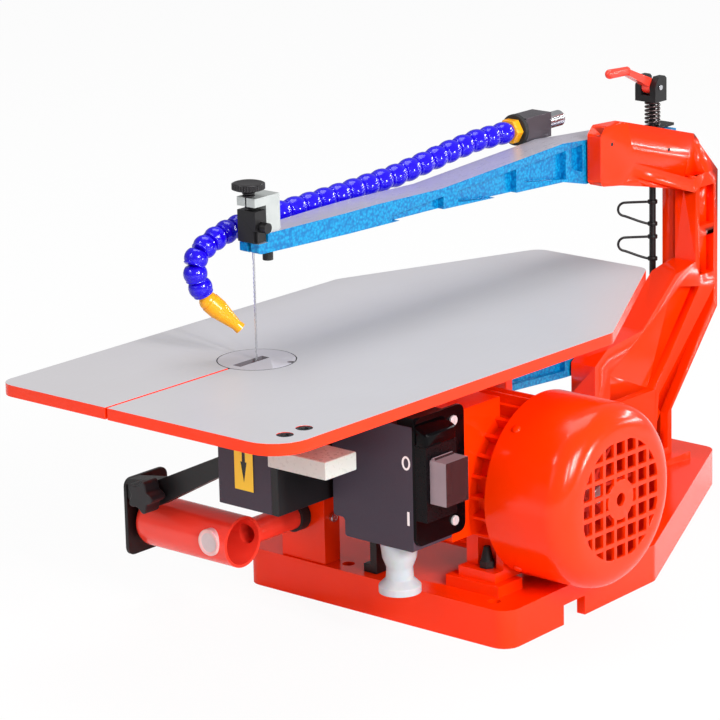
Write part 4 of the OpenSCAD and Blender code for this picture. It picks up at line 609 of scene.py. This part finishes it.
roundEdges(newPiece("tilt-knob", starKnob(), "blackMouldedNylon", bodyOf["tilt_knob"], ["tilt_knob"], 40),
           star["edge"], degrees=star["edgeDegrees"])

# ---- plug of the dust tube: a pale rim round a dish painted greyer, painted shade
plug = {"at": (-32.5, -18.2, -130.5), "dishR": 6.9, "sides": 48,
        "profile": [(0, -5), (9.4, -5), (9.4, 0.4), (9.1, 0.9), (8.4, 1.1), (7.4, 1.0), (6.7, 0.5), (0, 0.5)]}


def tubePlug():
    bm = turned(plug["profile"], plug["sides"])
    for face in bm.faces:
        middle = face.calc_center_median() / mm
        if middle.z > 0 and math.hypot(middle.x, middle.y) < plug["dishR"]:
            face.material_index = 1
    return stand(bm, plug["at"], (0, -1, 0))


newPiece("tube-plug", tubePlug(), ("pinkPolyethylene", "plugDishPaintedShade"), bodyOf["tube_plug"], ["tube_plug"], 30)

# ---- dome screws round the fan cover, and two small black domes in the head's face, painted shade of two holes
domes = {"x": 140, "centre": (143, -97), "r": 63.8, "angles": (50, 130, 230, 310), "sides": 28,
         "profile": [(0, -1), (3.3, -1), (3.3, 0.4), (2.8, 1.3), (1.6, 2.0), (0, 2.2)]}


def domeScrews():
    forms = []
    for angle in domes["angles"]:
        out = (0, math.cos(math.radians(angle)), math.sin(math.radians(angle)))
        at = (domes["x"], domes["centre"][0] + domes["r"] * out[1], domes["centre"][1] + domes["r"] * out[2])
        forms.append(stand(turned(domes["profile"], domes["sides"]), at, out))
    return joined(forms)


newPiece("cover-dome-screws", domeScrews(), "orangeStoveEnamel", "machine", (), 40)
# black domes where the head's face shows two dark holes: painted shade
pins = {"places": ((27, 356.6, 86.6), (27, 426, 70.3)), "sides": 24,
        "profile": [(0, -1.5), (1.5, -1.5), (1.5, 0.1), (1.2, 0.3), (0, 0.3)]}
darkDotForms = [stand(turned(pins["profile"], pins["sides"]), at, (1, 0, 0)) for at in pins["places"]]
newPiece("head-dark-dots", joined(darkDotForms), "blackOxideSteel", "machine")

# ---- switch marks: a plain ring for off and a bar for on, printed white
marks = {"face": 27.0, "thick": 0.12, "zero": (106.5, -59.5), "zeroHalf": (3.6, 4.9), "stroke": 1.5,
         "bar": (107.7, -97.8), "barHalf": (0.95, 4.8), "sides": 40}


def switchMarks():
    bm = bmesh.new()
    bmesh.ops.create_circle(bm, segments=marks["sides"], radius=1.0)
    ring = bmesh.ops.extrude_edge_only(bm, edges=bm.edges[:])
    inner = [v for v in ring["geom"] if isinstance(v, bmesh.types.BMVert)]
    for vert in bm.verts:
        shrink = marks["stroke"] if vert in inner else 0
        vert.co.x *= marks["zeroHalf"][0] - shrink
        vert.co.y *= marks["zeroHalf"][1] - shrink
    for vert in bm.verts:
        vert.co = Vector((vert.co.x + marks["zero"][0], 0, vert.co.y + marks["zero"][1])) * mm
    bar = bmesh.ops.create_grid(bm, x_segments=1, y_segments=1, size=1.0)["verts"]
    for vert in bar:
        vert.co = Vector((vert.co.x * marks["barHalf"][0] + marks["bar"][0], 0,
                          vert.co.y * marks["barHalf"][1] + marks["bar"][1])) * mm
    bmesh.ops.translate(bm, verts=bm.verts, vec=(0, marks["face"] * mm, 0))
    bmesh.ops.recalc_face_normals(bm, faces=bm.faces)
    outward = [f for f in bm.faces if f.normal.y > 0]
    bmesh.ops.reverse_faces(bm, faces=outward)
    raised = bmesh.ops.extrude_face_region(bm, geom=bm.faces[:])
    front = [v for v in raised["geom"] if isinstance(v, bmesh.types.BMVert)]
    bmesh.ops.translate(bm, verts=front, vec=(0, -marks["thick"] * mm, 0))
    bmesh.ops.recalc_face_normals(bm, faces=bm.faces)
    return bm


newPiece("switch-marks", switchMarks(), "whiteInk", "machine")

# ---- hood over the flap's hinge: a block on the panel whose top falls away outwards
hood = {"low": (114.0, 26.5, -46.5), "high": (125.0, 57.5, -31.5), "fall": 5.0, "corner": 2.2}


def switchHood():
    bm = bmesh.new()
    low, high = Vector(hood["low"]), Vector(hood["high"])
    bmesh.ops.create_cube(bm, size=1.0)
    for vert in bm.verts:
        vert.co = Vector([(low[i] + high[i]) / 2 + vert.co[i] * (high[i] - low[i]) for i in range(3)])
        if vert.co.x > high.x - 0.1 and vert.co.z > high.z - 0.1:
            vert.co.z -= hood["fall"]
    bmesh.ops.scale(bm, vec=(mm, mm, mm), verts=bm.verts)
    bmesh.ops.bevel(bm, geom=bm.edges[:], affect="EDGES", offset=hood["corner"] * mm, segments=3, profile=0.5,
                    material=-1)
    bmesh.ops.recalc_face_normals(bm, faces=bm.faces)
    return bm


newPiece("switch-hood", switchHood(), "glossBlackAbs", "machine")


# ---- stage
def softbox(name, place, target, size, watts, glossOnly=False):
    # an area light; with glossOnly it draws streaks on glossy surfaces and lights nothing
    lamp = bpy.data.lights.new(name, "AREA")
    lamp.shape, lamp.size, lamp.size_y = "RECTANGLE", size[0], size[1]
    lamp.energy = watts
    holder = bpy.data.objects.new(name, lamp)
    holder.location = place
    holder.visible_diffuse = not glossOnly
    holder.rotation_euler = (Vector(target) - Vector(place)).to_track_quat("-Z", "Y").to_euler()
    bpy.context.scene.collection.objects.link(holder)


stage = {"floorZ": -0.192, "halfSize": 6.0, "paper": "#F6F6F6", "floorGlow": 0.93, "worldStrength": 0.36}
# the key light is a bank of three narrow strips, which draws upright streaks on round enamel
keyBank = {"place": Vector((3.5, -0.88, 1.77)), "target": Vector((0.05, 0.2, -0.05)),
           "strips": ((-1.05, 0.26, 40), (0.0, 0.2, 90), (0.6, 0.12, 50)), "tall": 1.5}
across = (keyBank["target"] - keyBank["place"]).cross(Vector((0, 0, 1))).normalized()
for i, (offset, wide, watts) in enumerate(keyBank["strips"]):
    softbox("keyStrip%d" % (i + 1), keyBank["place"] + across * offset, keyBank["target"] + across * offset,
            (wide, keyBank["tall"]), watts)
softbox("frontSoftbox", (-0.4, -2.0, 1.1), (0.0, 0.1, -0.05), (1.2, 0.9), 4)
softbox("topSoftbox", (-0.3, 0.5, 2.1), (0.0, 0.1, 0.0), (1.6, 1.2), 22)

# narrow boxes that only glossy surfaces show: the fan cover's other streaks
streaks = {"target": (0.19, 0.14, -0.06),
           "boxes": (("streakFront", (-1.09, -2.31, 2.15), (0.2, 1.0), 34),
                     ("streakSide", (3.38, 1.56, 0.25), (0.26, 0.7), 40),
                     ("streakBackHigh", (0.9, 3.4, 1.2), (1.5, 0.14), 26),
                     ("streakBackLow", (1.49, 3.33, 0.5), (1.5, 0.1), 16))}
for name, place, size, watts in streaks["boxes"]:
    softbox(name, place, streaks["target"], size, watts, glossOnly=True)

floorBm = bmesh.new()
bmesh.ops.create_grid(floorBm, x_segments=1, y_segments=1, size=stage["halfSize"],
                      matrix=Matrix.Translation((0, 0, stage["floorZ"])))
floorMesh = bpy.data.meshes.new("floor")
floorBm.to_mesh(floorMesh)
floorBm.free()
floor = bpy.data.objects.new("floor", floorMesh)
bpy.context.scene.collection.objects.link(floor)


def paperFloor():
    # plain white paper: nearly all glow to the camera, with a little of the shadow, and plain paper to all other rays
    material = bpy.data.materials.new("whitePaper")
    material.use_nodes = True
    tree = material.node_tree
    tree.nodes.clear()
    path = tree.nodes.new("ShaderNodeLightPath")
    paper = addNode(tree, "ShaderNodeBsdfDiffuse", {"Color": linear(stage["paper"])})
    glow = addNode(tree, "ShaderNodeEmission", {"Color": (1, 1, 1, 1), "Strength": 1.0})
    seen = addNode(tree, "ShaderNodeMath", {0: path.outputs["Is Camera Ray"], 1: stage["floorGlow"]},
                   operation="MULTIPLY")
    both = addNode(tree, "ShaderNodeMixShader", {0: seen.outputs[0]})
    tree.links.new(paper.outputs[0], both.inputs[1])
    tree.links.new(glow.outputs[0], both.inputs[2])
    output = tree.nodes.new("ShaderNodeOutputMaterial")
    tree.links.new(both.outputs[0], output.inputs["Surface"])
    return material


floorMesh.materials.append(paperFloor())

world = bpy.data.worlds.new("studio")
bpy.context.scene.world = world
world.use_nodes = True
sky = world.node_tree
sky.nodes.clear()
skyPath = sky.nodes.new("ShaderNodeLightPath")
direct = addNode(sky, "ShaderNodeMath", {0: skyPath.outputs["Is Camera Ray"],
                 1: skyPath.outputs["Is Transmission Ray"]}, operation="MAXIMUM")
strength = addNode(sky, "ShaderNodeMapRange", {"Value": direct.outputs[0], "To Min": stage["worldStrength"],
                   "To Max": 1.0})
light = addNode(sky, "ShaderNodeBackground", {"Color": (1, 1, 1, 1), "Strength": strength.outputs[0]})
skyOut = sky.nodes.new("ShaderNodeOutputWorld")
sky.links.new(light.outputs[0], skyOut.inputs["Surface"])
print("stage set")
